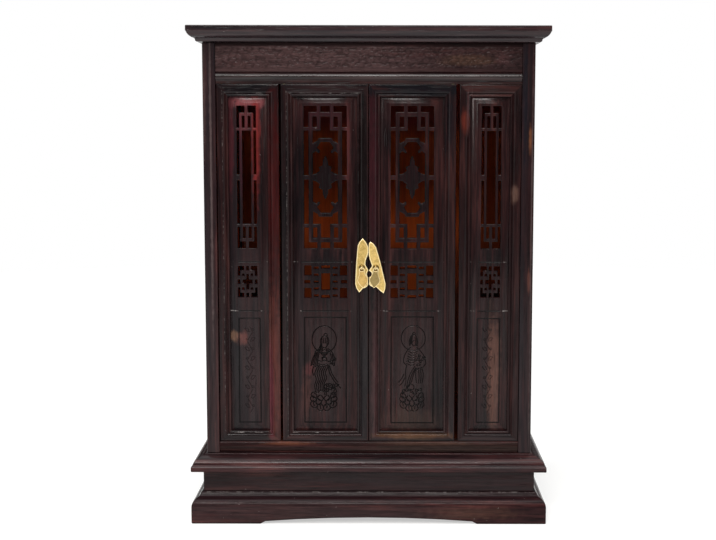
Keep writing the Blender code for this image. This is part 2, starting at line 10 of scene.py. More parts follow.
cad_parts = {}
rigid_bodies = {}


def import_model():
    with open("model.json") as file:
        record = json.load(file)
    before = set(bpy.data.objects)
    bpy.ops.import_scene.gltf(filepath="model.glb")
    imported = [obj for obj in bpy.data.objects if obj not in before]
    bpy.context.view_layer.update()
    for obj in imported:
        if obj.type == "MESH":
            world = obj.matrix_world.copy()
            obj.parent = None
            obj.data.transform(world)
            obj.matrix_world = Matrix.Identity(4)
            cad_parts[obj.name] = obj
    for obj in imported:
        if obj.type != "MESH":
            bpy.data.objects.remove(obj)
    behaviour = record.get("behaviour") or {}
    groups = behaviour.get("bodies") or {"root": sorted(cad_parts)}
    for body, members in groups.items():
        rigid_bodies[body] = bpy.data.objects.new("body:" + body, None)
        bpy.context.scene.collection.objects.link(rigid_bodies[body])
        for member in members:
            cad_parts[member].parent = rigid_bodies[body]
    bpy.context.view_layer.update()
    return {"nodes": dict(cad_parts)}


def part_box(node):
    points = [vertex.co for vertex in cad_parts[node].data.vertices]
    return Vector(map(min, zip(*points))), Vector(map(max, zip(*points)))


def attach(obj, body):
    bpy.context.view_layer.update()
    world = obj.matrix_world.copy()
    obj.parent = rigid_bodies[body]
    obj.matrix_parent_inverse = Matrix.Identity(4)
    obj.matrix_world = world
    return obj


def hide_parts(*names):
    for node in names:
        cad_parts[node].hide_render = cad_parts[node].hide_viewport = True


for old in list(bpy.data.objects):
    bpy.data.objects.remove(old, do_unlink=True)
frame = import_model()
nodes = frame["nodes"]
mm = 0.001  # settings below are in millimetres
print("cabinet frame loaded,", len(nodes), "pieces")


# Writing materials and node trees as sums.

class Socket:
    # an output of a node that can be used in sums
    def __init__(self, maker, link):
        self.maker = maker
        self.link = link

    def joined(self, operation, first, second):
        return self.maker.node("ShaderNodeMath", {"operation": operation}, {0: first, 1: second})

    def __add__(self, other):
        return self.joined("ADD", self, other)

    def __radd__(self, other):
        return self.joined("ADD", other, self)

    def __sub__(self, other):
        return self.joined("SUBTRACT", self, other)

    def __rsub__(self, other):
        return self.joined("SUBTRACT", other, self)

    def __mul__(self, other):
        return self.joined("MULTIPLY", self, other)

    def __rmul__(self, other):
        return self.joined("MULTIPLY", other, self)

    def __truediv__(self, other):
        return self.joined("DIVIDE", self, other)

    def __rtruediv__(self, other):
        return self.joined("DIVIDE", other, self)

    def __lt__(self, other):
        return self.joined("LESS_THAN", self, other)

    def __gt__(self, other):
        return self.joined("GREATER_THAN", self, other)

    def size(self):
        return self.joined("ABSOLUTE", self, 0.0)

    def root(self):
        return self.joined("SQRT", self, 0.0)

    def most(self, other):
        return self.joined("MAXIMUM", self, other)

    def least(self, other):
        return self.joined("MINIMUM", self, other)

    def output(self, name):
        return Socket(self.maker, self.link.node.outputs[name])


class Maker:
    # adds nodes to one tree
    def __init__(self, tree):
        self.tree = tree

    def node(self, kind, settings=None, values=None, out=0):
        made = self.tree.nodes.new(kind)
        for key, value in (settings or {}).items():
            if key == "stops":
                ramp = made.color_ramp
                while len(ramp.elements) < len(value):
                    ramp.elements.new(0.5)
                for element, (place, colour) in zip(ramp.elements, value):
                    element.position = place
                    element.color = (*colour, 1.0)
            else:
                setattr(made, key, value)
        for key, value in (values or {}).items():
            if isinstance(key, str):
                socket = next(s for s in made.inputs if s.name == key and s.enabled)
            else:
                socket = made.inputs[key]
            self.feed(socket, value)
        return Socket(self, made.outputs[out]) if made.outputs else None

    def feed(self, socket, value):  # a link, a colour or a plain value
        if isinstance(value, Socket):
            self.tree.links.new(value.link, socket)
        else:
            socket.default_value = (*value, 1.0) if socket.type == "RGBA" else value

    def rise(self, value, low, high):  # 0 below low, 1 above high, smooth between
        return self.node("ShaderNodeMapRange", {"interpolation_type": "SMOOTHSTEP"},
                         {"Value": value, "From Min": low, "From Max": high})

    def mix(self, share, first, second, blend="MIX"):  # colours
        return self.node("ShaderNodeMix", {"data_type": "RGBA", "blend_type": blend},
                         {0: share, 6: first, 7: second}, out=2)

    def noise(self, place, scale, detail=2.0, rough=0.5, twist=0.0):
        return self.node("ShaderNodeTexNoise", {},
                         {"Vector": place, "Scale": scale, "Detail": detail,
                          "Roughness": rough, "Distortion": twist})

    def place(self):
        return self.node("ShaderNodeTexCoord", out="Object")

    def split(self, place):
        return self.node("ShaderNodeSeparateXYZ", {}, {0: place})

    def point(self, **sides):
        return self.node("ShaderNodeCombineXYZ", {}, sides)

    def stretched(self, place, scale, offset=(0.0, 0.0, 0.0)):
        return self.node("ShaderNodeMapping", {}, {"Vector": place, "Location": offset,
                                                   "Scale": scale})

    def bump(self, height, depth=0.05):  # depth in millimetres
        return self.node("ShaderNodeBump", {}, {"Strength": 1.0, "Distance": depth * mm,
                                                "Height": height})


def newFinish(name):
    made = bpy.data.materials.new(name)
    made.use_nodes = True
    return made, Maker(made.node_tree), made.node_tree.nodes["Principled BSDF"]


def plug(build, shader, values):  # values or links for the shader's own sockets
    for key, value in values.items():
        build.feed(shader.inputs[key], value)


# Rosewood. The stain is nearly black, with warm streaks where the heartwood shows through.

wood = {
    "stain": [(0.38, (0.0036, 0.0018, 0.0022)), (0.51, (0.0150, 0.0052, 0.0056)),
              (0.68, (0.0520, 0.0175, 0.0160))],
    "cool": (0.0080, 0.0068, 0.0084),   # bluish near-black, laid in random streaks along the grain
    "cutColour": (0.0012, 0.0006, 0.0007),
    "dust": (0.30, 0.27, 0.26),
    "speck": (0.50, 0.44, 0.42),
    "stretch": 0.045,          # how much longer than wide the figure is
    "figure": 62.0,            # streaks to the metre, across the grain
    "streak": 420.0,
    "fibre": 2300.0,
    "cloud": 14.0,             # slow change of depth
    "depth": {"figure": 0.56, "streak": 0.40, "cloud": 0.18, "less": 0.07},
    "poreBand": (0.60, 0.70), "poreDark": 0.55,
    "thick": 24.0, "thickBand": (0.50, 0.66), "thickShare": 0.65,  # how often and how strongly the bluish streaks come
    "drift": (110.0, 150.0),   # what breaks up the edges of the patches
    "ragged": {"slow": 1.4, "streak": 1.1, "quick": 0.9}, "patchEdge": (0.35, 1.2),
    "veinBand": (0.30, 0.72), "veinDark": 0.55,
    "relief": {"fibre": 0.5, "pores": 0.8, "dimples": 0.9}, "dimple": 260.0,
    "polish": 300.0, "polishBand": (0.40, 0.62),
    "speckSize": 0.16, "speckGrid": 700.0, "speckShare": 0.8,
    "dustWide": (0.2, 0.6), "dustAndGlintBand": (0.50, 0.64), "dustAndGlintScale": {"x": 400.0, "z": 150.0},
    "cutBand": (0.02, 0.34), "cutShare": 0.96, "cutRough": 0.5, "cutDull": (0.02, 0.3),
    "roughness": 0.14, "smear": 90.0, "smearRough": 0.12, "poreRough": 0.22,
    "specular": 0.13,
    "coat": 0.08,
    "coatRoughness": 0.14,
}


def rosewood(name, grain, seed, patches=(), tone=1.0, gloss=1.0, carved=False, specks=0.0,
             dusty=(), dull=1.0):
    made, build, shader = newFinish(name)
    place = build.place()
    stretch = [wood["stretch"] if axis == grain else 1.0 for axis in "xyz"]
    offset = (seed * 0.731 % 3, seed * 0.387 % 2, seed * 0.553 % 5)
    grainwise = build.stretched(place, stretch, offset)
    figure = build.noise(grainwise, wood["figure"], 5.0, 0.62, 0.8)
    streak = build.noise(grainwise, wood["streak"], 3.0, 0.6)
    fibre = build.noise(grainwise, wood["fibre"])
    pores = build.rise(build.noise(grainwise, wood["fibre"] * 0.5, 1.0), *wood["poreBand"])
    cloud = build.noise(place, wood["cloud"], 3.0)
    part = wood["depth"]
    depth = (figure * part["figure"] + streak * part["streak"] + cloud * part["cloud"]
             - part["less"])
    colour = build.node("ShaderNodeValToRGB", {"stops": wood["stain"]}, {0: depth})
    thick = build.rise(build.noise(grainwise, wood["thick"]), *wood["thickBand"])
    colour = build.mix(thick * wood["thickShare"], colour, wood["cool"])
    parts = build.split(place)
    slow, quick = wood["drift"]
    part = wood["ragged"]
    wander = ((build.noise(grainwise, slow, 3.0) - 0.5) * part["slow"]
              + (streak - 0.5) * part["streak"]
              + (build.noise(place, quick, 3.0) - 0.5) * part["quick"])
    veins = build.rise(streak * 0.6 + fibre * 0.4, *wood["veinBand"])
    for x, z, wide, high, tint, share in patches:
        dx = (parts - x * mm) / (wide * mm)
        dz = (parts.output("Z") - z * mm) / (high * mm)
        reach = (dx * dx + dz * dz).root()
        tinted = build.mix(veins, [c * wood["veinDark"] for c in tint], tint)
        near = 1.0 - build.rise(reach + wander, *wood["patchEdge"])
        colour = build.mix(near * share, colour, tinted)
    shade = (0.72 + 0.56 * fibre) * (1.0 - wood["poreDark"] * pores) * tone
    colour = build.mix(1.0, colour, shade, "MULTIPLY")
    part = wood["relief"]
    height = (fibre * part["fibre"] - pores * part["pores"]
              + build.noise(place, wood["dimple"]) * part["dimples"])
    rough = (wood["roughness"] + wood["smearRough"] * build.noise(place, wood["smear"], 3.0)
             + wood["poreRough"] * pores)
    if specks:
        cells = build.node("ShaderNodeTexVoronoi", {}, {"Vector": place,
                                                        "Scale": wood["speckGrid"]})
        chance = build.node("ShaderNodeSeparateColor", {}, {0: cells.output("Color")})
        dots = (cells < wood["speckSize"]) * (chance > 1.0 - specks)
        colour = build.mix(dots * wood["speckShare"], colour, wood["speck"])
    for line, level, share in dusty:  # pale broken lines: dried polish in grooves, and painted highlights and glints along beads and edges
        across = parts if line == "x" else parts.output("Z")
        inner, outer = wood["dustWide"]
        near = 1.0 - build.rise((across - level * mm).size(), inner * mm, outer * mm)
        broken = build.rise(build.noise(place, wood["dustAndGlintScale"][line], 4.0, 0.75),
                            *wood["dustAndGlintBand"])
        colour = build.mix(near * broken * share, colour, wood["dust"])
    coat = build.rise(build.noise(grainwise, wood["polish"], 3.0, 0.6), *wood["polishBand"])
    coat = (0.35 + 1.5 * coat) * wood["coat"] * gloss  # the polish is thin on the soft streaks
    if carved:
        cut = build.node("ShaderNodeAttribute", {"attribute_name": "cut"}, out="Fac")
        colour = build.mix(build.rise(cut, *wood["cutBand"]) * wood["cutShare"], colour,
                           wood["cutColour"])
        rough = rough + wood["cutRough"] * cut
        coat = coat * (1.0 - build.rise(cut, *wood["cutDull"]))
    plug(build, shader, {"Base Color": colour, "Roughness": rough, "Coat Weight": coat,
                         "Normal": build.bump(height),
                         "Specular IOR Level": wood["specular"] * gloss,
                         "Coat Roughness": wood["coatRoughness"] * dull})
    return made


# A patch is x and z of its middle, its half width and half height, its colour and its strength.

# fretShade is painted shade: near-black laid over the fretted windows and the lattice of the panels
fretShade = (0.006, 0.003, 0.004)
honey = (0.210, 0.094, 0.038)
peach = (0.250, 0.140, 0.105)

leafPatches = {
    "left_fixed": [
        (-120, 441, 44, 9, (0.003, 0.0025, 0.004), 0.9),
        (-120, 85, 60, 9, (0.012, 0.008, 0.009), 0.6),
        (-95.5, 330, 8, 150, (0.050, 0.005, 0.005), 0.9),
        (-95, 150, 8.5, 120, (0.110, 0.030, 0.024), 0.9),
        (-98.8, 128, 3.2, 52, (0.140, 0.024, 0.042), 0.6),
    ],
    "left_door": [
        (-6, 170, 6, 90, (0.010, 0.008, 0.010), 0.7),
        (-6, 345, 6, 110, (0.003, 0.001, 0.001), 0.85),
        (-44, 438.5, 46, 6, (0.028, 0.012, 0.013), 0.75),
    ],
    "right_door": [
        (44, 87.5, 44, 4.5, honey, 0.44),
        (4, 345, 7, 110, (0.042, 0.007, 0.011), 0.8),
        (6, 160, 5, 90, (0.075, 0.030, 0.032), 0.6),
        (44, 438, 62, 8, (0.005, 0.005, 0.008), 0.9),
        (81, 402, 6, 48, (0.006, 0.005, 0.008), 0.7),
    ],
    "right_fixed": [
        (124, 438, 36, 6, (0.024, 0.013, 0.013), 0.6),
        (95.7, 407, 4.6, 13, (0.190, 0.030, 0.016), 0.5),
        # painted highlights: two thin pale lines along the sight bead of the left stile
        (98.6, 418, 0.8, 26, (0.22, 0.12, 0.125), 0.5),
        (102.7, 416, 0.8, 26, (0.20, 0.13, 0.13), 0.4),
        (146, 334, 4.6, 11, peach, 0.4),
    ],
}
panelPatches = {
    "left_fixed": [
        (-122, 245.8, 16, 18, fretShade, 0.6),
        (-127, 388, 5, 60, (0.050, 0.012, 0.018), 0.6),
        # the pink band on the panel's top slope is partly the wood's pink tint, partly a painted
        # highlight
        (-122, 425.5, 22, 7, (0.230, 0.060, 0.066), 0.85),
        (-122, 408, 13, 18, (0.110, 0.028, 0.032), 0.8),
        (-113.4, 392, 4.6, 76, (0.170, 0.019, 0.018), 0.9),
        (-138, 388, 4.5, 66, (0.055, 0.010, 0.014), 0.8),
        (-136.5, 190, 7, 6, (0.24, 0.125, 0.075), 0.6),
        (-128, 188, 7.5, 8, (0.15, 0.050, 0.042), 0.55),
    ],
    "left_door": [
        (-43.6, 158, 22, 62, (0.030, 0.018, 0.0185), 0.6),
        (-43.6, 345, 23, 74, fretShade, 0.75),
        (-43.6, 254, 32, 32, fretShade, 0.8),
        (-22, 385, 4.5, 50, (0.11, 0.03, 0.03), 0.5),
        (-44, 412, 26, 20, (0.034, 0.010, 0.013), 0.7),
        (-64, 130, 6, 30, (0.11, 0.042, 0.036), 0.45),
        (-60, 156, 6, 7, (0.12, 0.030, 0.032), 0.45),
    ],
    "right_door": [
        (43.4, 158, 22, 62, (0.030, 0.019, 0.019), 0.65),
        (43.4, 345, 23, 74, fretShade, 0.75),
        # a lighter painted shade over the right door's lattice
        (43.4, 248, 26, 22, (0.010, 0.006, 0.006), 0.5),
        (44, 412, 26, 18, (0.028, 0.011, 0.012), 0.6),
        (44, 104, 34, 18, (0.045, 0.024, 0.018), 0.6),
    ],
    "right_fixed": [
        (127, 158, 8, 66, (0.105, 0.048, 0.036), 0.85),
    ],
}

upright = rosewood("uprightWood", "z", 3, tone=1.9)
uprightLeft = rosewood("uprightWoodLeft", "z", 3, tone=1.5, patches=[
    # painted highlight: a thin pale line along the post's inner edge
    (-157.4, 350, 1.4, 190, (0.100, 0.072, 0.070), 0.45),
    (-164.5, 430, 3, 60, (0.070, 0.040, 0.036), 0.35)])
uprightRight = rosewood("uprightWoodRight", "z", 11, tone=1.3, gloss=0.8, patches=[
    (161, 389, 2, 18, (0.12, 0.045, 0.020), 0.7),
    (161, 247, 2.2, 14, (0.10, 0.034, 0.024), 0.55),
    (155.8, 425, 3.4, 75, (0.006, 0.006, 0.009), 0.75),
    # painted highlight: a thin pale line along the post's outer edge
    (162.9, 300, 1, 240, (0.085, 0.062, 0.060), 0.45)])
lying = rosewood("lyingWood", "x", 5, specks=0.003)
baseWood = rosewood("baseWood", "x", 6, tone=1.9, gloss=0.85, specks=0.003)
baseWoodSide = rosewood("baseWoodSide", "y", 7, tone=1.3, gloss=0.12)
waistWood = rosewood("waistWood", "x", 5, tone=1.15, gloss=0.8, specks=0.003, patches=[
    (60, 42, 190, 16, (0.022, 0.0105, 0.012), 0.6)])
sillWood = rosewood("sillWood", "x", 8, tone=1.6, gloss=0.3, specks=0.003, patches=[
    (-60, 74.6, 300, 4, (0.022, 0.013, 0.012), 0.6),
    (-60, 80.6, 300, 2.8, (0.007, 0.0035, 0.0035), 0.75),
    (-82, 80, 30, 3, (0.19, 0.06, 0.030), 0.36),
    (90, 76, 110, 9, (0.021, 0.013, 0.011), 0.8),
    (60, 80, 60, 2.5, (0.12, 0.05, 0.03), 0.2)])
friezeWood = rosewood("friezeWood", "x", 14, carved=True, gloss=0.28, patches=[
    (-60, 469, 190, 60, (0.073, 0.041, 0.041), 0.85),
    (110, 469, 90, 40, (0.036, 0.019, 0.019), 0.7),
    # painted shadow: a dark strip along the top of the frieze, under the cornice
    (0, 482.4, 900, 3, (0.004, 0.002, 0.0022), 0.75),
    (98, 467, 30, 7.5, (0.11, 0.056, 0.030), 0.32),
    (132, 468, 9, 7, (0.10, 0.045, 0.045), 0.35)])
# the pale broken line at 30.7 mm is partly dust in the groove at the plinth's top, partly painted
# glints
plinthWood = rosewood("plinthWood", "x", 21, specks=0.01, tone=1.55, gloss=0.4,
                      dusty=(("z", 30.7, 0.3),), patches=[
    (-70, 12, 210, 16, (0.030, 0.018, 0.018), 0.5),
    # painted shade: a dark band in the cove below the plinth's top
    (0, 26.5, 900, 6.5, (0.012, 0.005, 0.006), 0.9),
    (110, 12, 55, 9, (0.11, 0.05, 0.032), 0.2)])
sideways = rosewood("sidewaysWood", "y", 17, gloss=0.3, specks=0.004)
topWood = rosewood("topWood", "x", 26, tone=1.65, gloss=1.75, specks=0.004)
topWoodSide = rosewood("topWoodSide", "y", 27, tone=1.4, gloss=1.5)
headWood = rosewood("headWood", "x", 29, tone=0.68, gloss=1.9, dull=2.2)


# The inside is finished in a warm orange-brown.

innerLook = {"deep": (0.46, 0.060, 0.008), "bright": (0.80, 0.140, 0.018),
             "shadow": (0.20, 0.020, 0.022), "roughness": 0.5, "specular": 0.15,
             "stretch": 0.05, "figure": 50.0, "fibre": 900.0,
             "behind": (131.8, 132.6),  # the back board's far face, which stays dark
             "high": (384, 410), "highShare": 0.85}


def innerWood(name, grain, seed, tone=1.0, shaded=False):
    made, build, shader = newFinish(name)
    place = build.place()
    stretch = [innerLook["stretch"] if axis == grain else 1.0 for axis in "xyz"]
    along = build.stretched(place, stretch, (seed, seed * 0.3, 0.0))
    figure = build.noise(along, innerLook["figure"], 5.0, 0.6, 0.9)
    fibre = build.noise(along, innerLook["fibre"], 3.0)
    colour = build.mix(build.rise(figure, 0.3, 0.7), innerLook["deep"],
                       innerLook["bright"])
    parts = build.split(place)
    near, far = innerLook["behind"]
    behind = build.rise(parts.output("Y"), near * mm, far * mm)
    shade = (0.80 + 0.4 * fibre) * (1.0 - 0.95 * behind) * tone
    if shaded:
        shade = shade * backShade(build, parts, parts.output("Z"))
        low, top = innerLook["high"]
        high = build.rise(parts.output("Z"), low * mm, top * mm) * innerLook["highShare"]
        colour = build.mix(high, colour, innerLook["shadow"])
    colour = build.mix(1.0, colour, shade, "MULTIPLY")
    plug(build, shader, {"Base Color": colour, "Normal": build.bump(fibre),
                         "Roughness": innerLook["roughness"] + 0.12 * figure,
                         "Specular IOR Level": innerLook["specular"]})
    return made


backLook = {  # where shade is painted on the back board, in millimetres from the middle and the floor
    "corner": ((-118, -113), (-105, -100)),
    "joint": -4.5, "seamShadeHalf": (1.2, 2.8),
    "sides": (92, 98), "sidesTop": (290, 360), "sidesLow": (200, 220), "edges": (106, 112),
    "low": (244, 280), "clear": (-56, 48), "clearHalf": (7, 14),
}


# painted shade: darkens the back board in the left corner, behind the seam between the doors,
# towards the sides, and low down except straight behind the lattice openings
def backShade(build, x, z):
    look = backLook

    def fade(value, span):
        return build.rise(value, span[0] * mm, span[1] * mm)

    inner, outer = look["corner"]
    corner = fade(x, inner) * (1.0 - fade(x, outer))
    joint = 1.0 - fade((x - look["joint"] * mm).size(), look["seamShadeHalf"])
    sides = fade(x.size(), look["sides"]) * ((1.0 - fade(z, look["sidesTop"])) * 0.3
                                             + (1.0 - fade(z, look["sidesLow"])) * 0.5)
    sides = sides + fade(x.size(), look["edges"]) * 0.18
    left, right = look["clear"]
    beside = (x - left * mm).size().least((x - right * mm).size())
    low = (fade(beside, look["clearHalf"]) * 0.42 + 0.12) * (1.0 - fade(z, look["low"]))
    return (1.0 - 0.93 * corner) * (1.0 - 0.97 * joint) * (1.0 - sides) * (1.0 - low)


innerUpright = innerWood("innerUprightWood", "z", 1.7)
# painted shade: the inside floor board is darkened almost to black
innerFloorShaded = innerWood("innerLyingWood", "x", 4.1, tone=0.12)
innerBack = innerWood("innerBackWood", "z", 6.3, tone=1.1, shaded=True)


# Brass: pale gold sheet, lightly brushed, in bright and aged blotches.

brassLook = {
    "plate": ((0.64, 0.45, 0.16), (0.40, 0.27, 0.08)),
    "plateRight": ((0.74, 0.53, 0.19), (0.46, 0.31, 0.10)),
    # the rim's pale brass is a painted highlight round the edge of each plate and drop
    "rim": ((0.95, 0.80, 0.47), (0.86, 0.66, 0.32)),
    "drop": ((0.66, 0.44, 0.15), (0.45, 0.28, 0.09)),
    # the right drop's darker brass is painted shade, for a drop that hangs tilted
    "dropRight": ((0.34, 0.25, 0.10), (0.25, 0.18, 0.07)),
    "wire": ((0.92, 0.76, 0.42), (0.60, 0.42, 0.16)),
    # the rose's near-black brown is painted shade round the eye
    "rose": ((0.19, 0.12, 0.035), (0.10, 0.06, 0.015)),
    "roughness": 0.34,
    "brush": 6000.0, "blotch": 260.0, "grain": 1100.0, "dent": 700.0,
    "aged": (0.40, 0.66), "brushRough": 0.10, "agedRough": 0.12,
    "brushHigh": 0.35, "dentHigh": 1.4, "depth": 0.04,
}


def brass(name, rough=1.0):
    made, build, shader = newFinish(name + "Brass")
    place = build.place()
    look = brassLook
    lines = build.noise(build.stretched(place, (1.0, 1.0, 0.08)), look["brush"])
    blotch = build.noise(place, look["blotch"], 4.0, 0.6)
    grains = build.noise(place, look["grain"])
    dents = build.noise(place, look["dent"])
    share = build.rise(blotch * 0.6 + grains * 0.4, *look["aged"])
    rough = (look["roughness"] + look["brushRough"] * lines + look["agedRough"] * share) * rough
    plug(build, shader, {"Base Color": build.mix(share, *look[name]), "Metallic": 1.0,
                         "Roughness": rough,
                         "Normal": build.bump(lines * look["brushHigh"]
                                              + dents * look["dentHigh"], look["depth"])})
    return made


plateBrass = {"left": brass("plate"), "right": brass("plateRight")}
dropBrass = {"left": brass("drop"), "right": brass("dropRight")}
rimHighlightBrass = brass("rim")
wireBrass = brass("wire", 0.6)
roseShadeBrass = brass("rose")
print("finishes made")


# Making pieces.

def pieceName(text):
    first, *rest = text.split("_")
    return first + "".join(word.capitalize() for word in rest)


def smoothShaded(mesh, angle=32):
    mesh.polygons.foreach_set("use_smooth", [True] * len(mesh.polygons))
    mesh.set_sharp_from_angle(angle=math.radians(angle))
    mesh.update()


def newObject(name, mesh, finishes):
    for finish in finishes:
        mesh.materials.append(finish)
    piece = bpy.data.objects.new(name, mesh)
    bpy.context.scene.collection.objects.link(piece)
    return piece


def meshFrom(name, verts, faces, join=0.005, groove=None):
    # a mesh in metres from points in millimetres, joined up, its faces outwards
    mesh = bpy.data.meshes.new(name)
    mesh.from_pydata([(x * mm, y * mm, z * mm) for x, y, z in verts], [], faces)
    if groove:
        mesh.attributes.new("groove", "FLOAT", "POINT").data.foreach_set("value", groove)
    shaped = bmesh.new()
    shaped.from_mesh(mesh)
    bmesh.ops.remove_doubles(shaped, verts=shaped.verts, dist=join * mm)
    bmesh.ops.recalc_face_normals(shaped, faces=shaped.faces)
    shaped.to_mesh(mesh)
    shaped.free()
    return mesh


def tubeFaces(rings, around):
    # the side and the two ends of a tube whose corners are listed ring by ring
    faces = []
    for low in range(0, (rings - 1) * around, around):
        for k in range(around):
            after = (k + 1) % around
            faces.append((low + k, low + after, low + around + after, low + around + k))
    last = (rings - 1) * around
    return faces + [tuple(range(around)), tuple(range(last, last + around))]


def oval(x, z, wide, high, steps=28):
    # ends on the point that it starts from
    turns = [math.tau * i / steps for i in range(steps + 1)]
    return [(x + wide * math.cos(turn), z + high * math.sin(turn)) for turn in turns]


def settled(piece, angle=32):
    # turns the modifiers' result into the piece's own plain mesh
    graph = bpy.context.evaluated_depsgraph_get()
    made = bpy.data.meshes.new_from_object(piece.evaluated_get(graph),
                                           preserve_all_data_layers=True, depsgraph=graph)
    piece.modifiers.clear()
    piece.data = made
    made.name = piece.name
    if angle:
        smoothShaded(made, angle)
    return piece


def eased(piece, width, limit=38.0):
    bevel = piece.modifiers.new("eased", "BEVEL")
    bevel.width = width * mm
    bevel.segments = 2
    bevel.limit_method = "ANGLE"
    bevel.angle_limit = math.radians(limit)
    bevel.use_clamp_overlap = False
    bevel.loop_slide = False
    return piece


def placed(piece, body, slot, *instead):
    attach(piece, body)
    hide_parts(*instead)
    return piece


def paintFaces(piece, pick):
    for face in piece.data.polygons:
        face.material_index = pick(face.center / mm, face.normal)


def softened(name, finishes, pick=None, slot="rosewood", width=0.45):
    # a rigid piece with its edges eased, and its faces given the right way of the grain
    shaped = bmesh.new()
    shaped.from_mesh(nodes[name].data)
    bmesh.ops.remove_doubles(shaped, verts=shaped.verts, dist=0.002 * mm)
    bmesh.ops.dissolve_limit(shaped, angle_limit=math.radians(0.5), verts=shaped.verts,
                             edges=shaped.edges)
    mesh = bpy.data.meshes.new(pieceName(name))
    shaped.to_mesh(mesh)
    shaped.free()
    piece = newObject(pieceName(name), mesh, finishes)
    smoothShaded(mesh)
    eased(piece, width).modifiers[-1].harden_normals = True
    settled(piece, None)
    if pick:
        paintFaces(piece, pick)
    return placed(piece, "cabinet", slot, name)


innerSideways = innerWood("innerSidewaysWood", "y", 2.9)
rawBoard = rosewood("backBoardWood", "z", 33, tone=1.6)
wallLine = 152.3  # half the clear width inside


def uprightPick(centre, normal):
    return 1 if abs(normal.x) > 0.7 and abs(centre.x) < wallLine + 1 else 0


def turnedPick(centre, normal):  # mouldings that run round the front and the sides
    return 1 if abs(normal.x) > abs(normal.y) * 1.2 and abs(normal.x) > 0.25 else 0


for name in ("back_post_left", "back_post_right"):
    softened(name, [upright, innerUpright], uprightPick)
softened("front_post_left", [uprightLeft])
softened("front_post_right", [uprightRight])
for side in ("left", "right"):
    for name in ("side_rail_low_" + side, "side_rail_high_" + side):
        softened(name, [sideways, innerSideways], uprightPick)
    softened("side_panel_" + side, [upright, innerUpright],
             lambda c, n: 1 if n.x * c.x < 0 and abs(n.x) > 0.7 else 0, width=0.3)
    softened("plinth_" + side, [sideways])
    softened("waist_" + side, [sideways])
for name, finish in (("plinth_front", plinthWood), ("plinth_back", lying),
                     ("waist_front", waistWood), ("waist_back", lying)):
    softened(name, [finish])
softened("base_board", [baseWood, baseWoodSide], turnedPick, width=0.3)
softened("top_board", [topWood, topWoodSide], turnedPick, width=0.3)
softened("sill_rail", [sillWood], width=0.3)
softened("head_rail", [headWood], width=0.3)
softened("back_board", [innerBack, rawBoard], lambda c, n: 1 if n.y > 0.5 else 0, "inner_wood")
softened("floor_board", [innerFloorShaded], slot="inner_wood")
print("carcase made")


# A leaf's frame: one mitred ring. The moulding is a bead, a quirk and a quarter round.

leafLook = {
    "face": -119.0, "thick": 11.0, "low": 82.5, "high": 443.1,
    "stile": 11.3, "railLow": 10.0, "railHigh": 12.0,
    "grooveFront": 4.4, "grooveBack": 8.0, "grooveDeep": 2.8,
    "fieldDepth": 1.6, "margin": 0.6, "slope": 5.4,
    "pinPlay": 0.3,
    # dustSide and glintRails are painted highlights: pale lines and specks along the left leaves'
    # side moulding and rail beads
    "dustSide": ("x", 5.4, 0.2), "glintRails": (("z", 91.1, 0.8), ("z", 434.4, 0.5)),
}
leafSpans = {
    "left_fixed": (-151.4, -89.8), "left_door": (-87.6, -0.6),
    "right_door": (0.0, 87.0), "right_fixed": (90.4, 152.0),
}
leafBodies = {"left_fixed": "cabinet", "left_door": "left_door",
              "right_door": "right_door", "right_fixed": "cabinet"}


def arc(start, end, bulge, count):
    # points after start up to end on an arc that stands out to the left of the line
    a = Vector(start)
    b = Vector(end)
    chord = b - a
    side = Vector((-chord.y, chord.x)).normalized()
    half = chord.length / 2
    radius = (half * half + bulge * bulge) / (2 * bulge)
    centre = (a + b) / 2 - side * (radius - bulge)
    spread = math.asin(max(-1.0, min(1.0, half / radius)))
    turns = [-spread + 2 * spread * i / count for i in range(1, count + 1)]
    return [tuple(centre + side * radius * math.cos(turn)
                  + chord.normalized() * radius * math.sin(turn)) for turn in turns]


def leafSection():
    # width from the sight edge, depth behind the face, and 1 where width is from the outer edge
    look = leafLook
    moulding = [(0.0, look["grooveFront"]), (0.0, 1.3)]
    moulding += arc((0.0, 1.3), (2.5, 1.3), -0.9, 8)
    moulding += [(2.75, 1.6), (3.1, 1.6), (3.3, 1.1)]
    moulding += arc((3.3, 1.1), (6.2, 0.0), -0.35, 5)
    section = [(w, d, 0) for w, d in moulding]
    section += [(6.5, 0.0, 0), (-0.9, 0.0, 1), (-0.6, 0.0, 1), (-0.18, 0.18, 1), (0.0, 0.6, 1),
                (0.0, 0.9, 1), (0.0, 8.3, 1), (0.0, 8.5, 1), (-0.6, look["thick"], 1)]
    section += [(0.0, look["thick"], 0), (0.0, look["grooveBack"], 0),
                (look["grooveDeep"], look["grooveBack"], 0),
                (look["grooveDeep"], look["grooveFront"], 0)]
    return section


